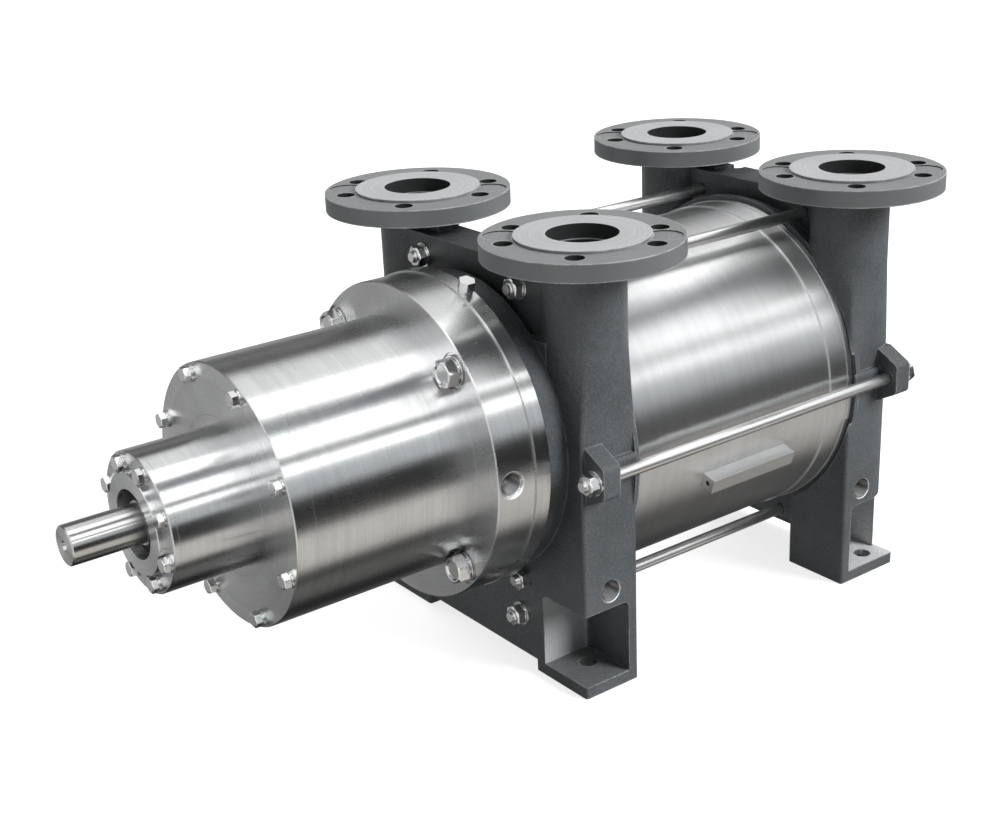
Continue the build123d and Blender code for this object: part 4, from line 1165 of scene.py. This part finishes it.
CASTINGS = Assembly(
    finishes=(
        (CAST_PAINT, ("drive_end_head", "rear_end_head")),
        (COVER_PAINT, ("rear_cover",)),
    ),
    linings=(HoleLining("drain_threads", TappedHole(10.5 * MM, 22 * MM, 1.4 * MM), DRAIN_STEEL, (
        (-184 * MM, -168 * MM, 105 * MM), (-184 * MM, 168 * MM, 105 * MM),
        (166 * MM, -168 * MM, 105 * MM), (166 * MM, 168 * MM, 105 * MM),
    )),),
)
BARREL = Assembly(finishes=(
    (BARREL_STEEL, ("barrel", "drive_port_plate", "rear_port_plate")),
    (FIBRE, ("drive_gasket", "rear_gasket", "drive_discharge_flap", "rear_discharge_flap")),
    (BAR_STEEL, ("drive_flap_guard", "rear_flap_guard", "gauge_bar")),
))
DRIVE = Assembly(
    finishes=(
        (LANTERN_STEEL, (
            "adapter_ring", "coupling_lantern", "lantern_cover", "bearing_carrier", "bearing_cover",
            "containment_shell")),
        (SHAFT_STEEL, ("drive_shaft", "pump_shaft", "shaft_lock_nut")),
        (ROTOR_STEEL, ("outer_magnet_rotor", "inner_magnet_rotor", "impeller")),
        (BEARING_STEEL, (
            "front_bearing_outer_ring", "front_bearing_inner_ring", "back_bearing_outer_ring",
            "back_bearing_inner_ring", "drive_shaft_sleeve", "rear_shaft_sleeve")),
        (BALL_STEEL, ("front_bearing_balls", "back_bearing_balls")),
        (BRONZE, ("front_bearing_cage", "back_bearing_cage", "drive_bush", "rear_bush")),
        (MAGNET, ("outer_magnets", "inner_magnets")),
        (FASTENER, ("carrier_screws", "shell_screws")),
        (RUBBER, ("lip_seal",)),
    ),
    linings=(HoleLining("side_port_thread", TappedHole(10.3 * MM, 20 * MM, 3.0 * MM), PORT_STEEL, (
        (-283 * MM, -153.8 * MM, SHAFT_HEIGHT),
    )),),
)
FASTENERS = Assembly(
    finishes=((FASTENER, ("tie_rod_washers", "vent_plug")),),
    rows=(
        FastenerRow("lantern_bolts", HexShape(24 * MM, 13 * MM, 14.4 * MM, 3 * MM, dish=1.6 * MM)),
        FastenerRow("lantern_cover_bolts", HexShape(13 * MM, 7 * MM, 7.8 * MM, 1.6 * MM)),
        FastenerRow("bearing_cover_screws", HexShape(13 * MM, 6 * MM, 7.8 * MM, 1.2 * MM)),
        FastenerRow("rear_cover_bolts", HexShape(17 * MM, 8 * MM)),
        FastenerRow("chamber_studs", HexShape(19 * MM, 10 * MM), stud_radius=6.0 * MM, stud_over=4 * MM, first=3),
    ),
)


@dataclass(frozen=True)
class Panel:
    """A long soft light or screen beside the pump, seen only in reflections. Its angle is measured about the
    shaft's line, from the near side upwards."""

    angle: float
    half_width: float
    softness: float
    level: float
    tint: Colour = WHITE

    def light(self, graph: Graph, bearing: Socket) -> Socket:
        """Gives the panel's light in a direction.

        Args:
            graph: the world's tree.
            bearing: the direction's angle in degrees.

        Returns:
            The light as a colour.
        """
        away = graph.math("WRAP", graph.math("SUBTRACT", bearing, self.angle), 180.0, -180.0)
        share = graph.span(graph.math("ABSOLUTE", away), self.half_width, self.half_width + self.softness, 1.0, 0.0)
        return graph.blend(share, BLACK, scaled(self.tint, self.level))


@dataclass(frozen=True)
class Sun:
    """A broad soft lamp that shines from one direction."""

    name: str
    towards: Place
    strength: float
    spread: float

    def build(self) -> None:
        """Adds the lamp. It lights surfaces, and the panels make the reflections."""
        data = bpy.data.lights.new(self.name, "SUN")
        data.energy = self.strength
        data.angle = math.radians(self.spread)
        lamp = bpy.data.objects.new(self.name, data)
        lamp.rotation_euler = Vector(self.towards).to_track_quat("Z", "Y").to_euler()
        lamp.visible_glossy = False
        bpy.context.scene.collection.objects.link(lamp)


@dataclass
class Studio:
    """The floor, the soft lamps and the panels that show in the metal."""

    panels: tuple[Panel, ...] = (
        Panel(30.0, 2.5, 3.0, 2.4),
        Panel(51.0, 7.5, 4.0, 2.4),
        Panel(17.0, 7.0, 8.0, 0.64, (0.94, 0.98, 1.0)),
        Panel(66.0, 4.0, 6.0, 0.26, (0.86, 0.94, 1.0)),
        Panel(88.0, 9.0, 3.0, 2.6),
        Panel(116.0, 13.0, 6.0, 1.05),
        Panel(153.0, 4.0, 12.0, 0.22),
        Panel(190.0, 14.0, 10.0, 0.42),
        Panel(-42.0, 13.0, 9.0, 0.70, (1.0, 0.96, 0.90)),
        Panel(-84.0, 8.0, 8.0, 0.13, (1.0, 0.98, 0.95)),
        Panel(-140.0, 8.0, 14.0, 0.10),
    )
    shade: float = 0.02
    # The light that the faces across the shaft mirror, and the X of the directions where it starts and is full.
    drive_end: float = 0.95
    drive_end_span: tuple[float, float] = (-0.60, -0.88)
    rear_end: float = 0.5
    rear_end_span: tuple[float, float] = (0.86, 0.98)
    suns: tuple[Sun, ...] = (
        Sun("key_lamp", (0.45, -0.80, 0.55), 3.1, 25.0),
        Sun("back_lamp", (0.10, 0.90, 0.55), 1.6, 40.0),
    )
    # The light on rough surfaces, which grows towards the rear (by X) and towards the top (by Z).
    ambient_span: tuple[float, float] = (-0.35, 0.75)
    ambient: tuple[float, float] = (0.02, 0.55)
    lift_span: tuple[float, float] = (-0.4, 0.9)
    lift: tuple[float, float] = (0.7, 1.25)
    floor_size: float = 60.0
    floor_cells: int = 4
    floor_drop: float = 0.5 * MM
    floor_glow: float = 0.78
    floor_colour: Colour = (0.55, 0.55, 0.55)

    def build(self) -> None:
        """Builds the whole studio."""
        for sun in self.suns:
            sun.build()
        self.world()
        self.floor()

    def world(self) -> None:
        """Builds the surroundings: white to the camera, panels to the metal and soft light to the rest."""
        world = bpy.data.worlds.new("studio")
        bpy.context.scene.world = world
        world.use_nodes = True
        world.node_tree.nodes.clear()
        graph = Graph(world.node_tree)
        direction = graph.add("ShaderNodeTexCoord").outputs["Generated"]
        x, y, z = graph.parts(direction)
        rays = graph.add("ShaderNodeLightPath")
        bearing = graph.math("DEGREES", graph.math("ARCTAN2", z, graph.math("MULTIPLY", y, -1.0)))
        total: Source = scaled(WHITE, self.shade)
        for panel in self.panels:
            total = graph.blend(1.0, total, panel.light(graph, bearing), "ADD")
        total = graph.blend(graph.span(x, *self.drive_end_span), total, scaled(WHITE, self.drive_end))
        total = graph.blend(graph.span(x, *self.rear_end_span), total, scaled(WHITE, self.rear_end))
        soft = graph.times(graph.span(x, *self.ambient_span, *self.ambient), graph.span(z, *self.lift_span, *self.lift))
        light = graph.blend(rays.outputs["Is Glossy Ray"], graph.grey(soft), total)
        back = graph.add("ShaderNodeBackground")
        graph.feed_all(back, color=graph.blend(self.seen(graph, rays), light, WHITE))
        graph.feed_all(graph.add("ShaderNodeOutputWorld"), surface=back.outputs[0])

    def seen(self, graph: Graph, rays: bpy.types.Node) -> Socket:
        """Gives 1 for what the camera sees itself and 0 for the rays that only light the pump."""
        return graph.math("MAXIMUM", rays.outputs["Is Camera Ray"], rays.outputs["Is Transmission Ray"])

    def floor(self) -> None:
        """Builds the pale floor, white to the camera but for the pump's soft shadow."""
        mesh = bmesh.new()
        bmesh.ops.create_grid(
            mesh, x_segments=self.floor_cells, y_segments=self.floor_cells, size=self.floor_size / 2)
        data = bpy.data.meshes.new("floor")
        mesh.to_mesh(data)
        mesh.free()
        floor = bpy.data.objects.new("floor", data)
        bpy.context.scene.collection.objects.link(floor)
        floor.location.z = -self.floor_drop
        floor.visible_glossy = False
        made = bpy.data.materials.new("floor_sheet")
        made.use_nodes = True
        graph = Graph(made.node_tree)
        shader = made.node_tree.nodes["Principled BSDF"]
        shader.inputs["Specular IOR Level"].default_value = 0.0
        seen = self.seen(graph, graph.add("ShaderNodeLightPath"))
        graph.feed_all(
            shader, base_color=self.floor_colour + (1.0,), roughness=1.0, emission_color=WHITE + (1.0,),
            emission_strength=graph.times(seen, self.floor_glow))
        data.materials.append(made)


@dataclass(frozen=True)
class PhotoCamera:
    """The camera of the photograph's view, as worked out from the pump's own circles."""

    place: Place = (-1.0584, -1.1950, 0.8105)
    azimuth: float = -37.10
    elevation: float = 21.85
    roll: float = -2.22
    focal_share: float = 1.61544
    shift: tuple[float, float] = (-0.0215, 0.0233)
    sensor: float = 36.0
    sees_to: float = 200.0

    def build(self) -> None:
        """Adds the camera and makes it the scene's own."""
        a, e, r = (math.radians(v) for v in (self.azimuth, self.elevation, self.roll))
        back = Vector((math.sin(a) * math.cos(e), -math.cos(a) * math.cos(e), math.sin(e)))
        level = Vector((math.cos(a), math.sin(a), 0.0))
        upright = back.cross(level)
        right = math.cos(r) * level + math.sin(r) * upright
        up = -math.sin(r) * level + math.cos(r) * upright
        data = bpy.data.cameras.new("camera")
        data.sensor_width = self.sensor
        data.lens = self.sensor * self.focal_share
        data.shift_x, data.shift_y = self.shift
        data.clip_end = self.sees_to
        camera = bpy.data.objects.new("camera", data)
        turn = Matrix((right, up, back)).transposed().to_4x4()
        camera.matrix_world = Matrix.Translation(self.place) @ turn
        bpy.context.scene.collection.objects.link(camera)
        bpy.context.scene.camera = camera


def main() -> None:
    """Builds the pump's looks and the studio round it."""
    logging.basicConfig(level=logging.INFO, format="%(name)s: %(message)s")
    PhotoCamera().build()
    for assembly in (CASTINGS, BARREL, DRIVE, TieRods(), FASTENERS):
        assembly.build()
    Studio().build()
    bpy.context.scene.view_settings.view_transform = "Standard"


if __name__ == "__main__":
    main()
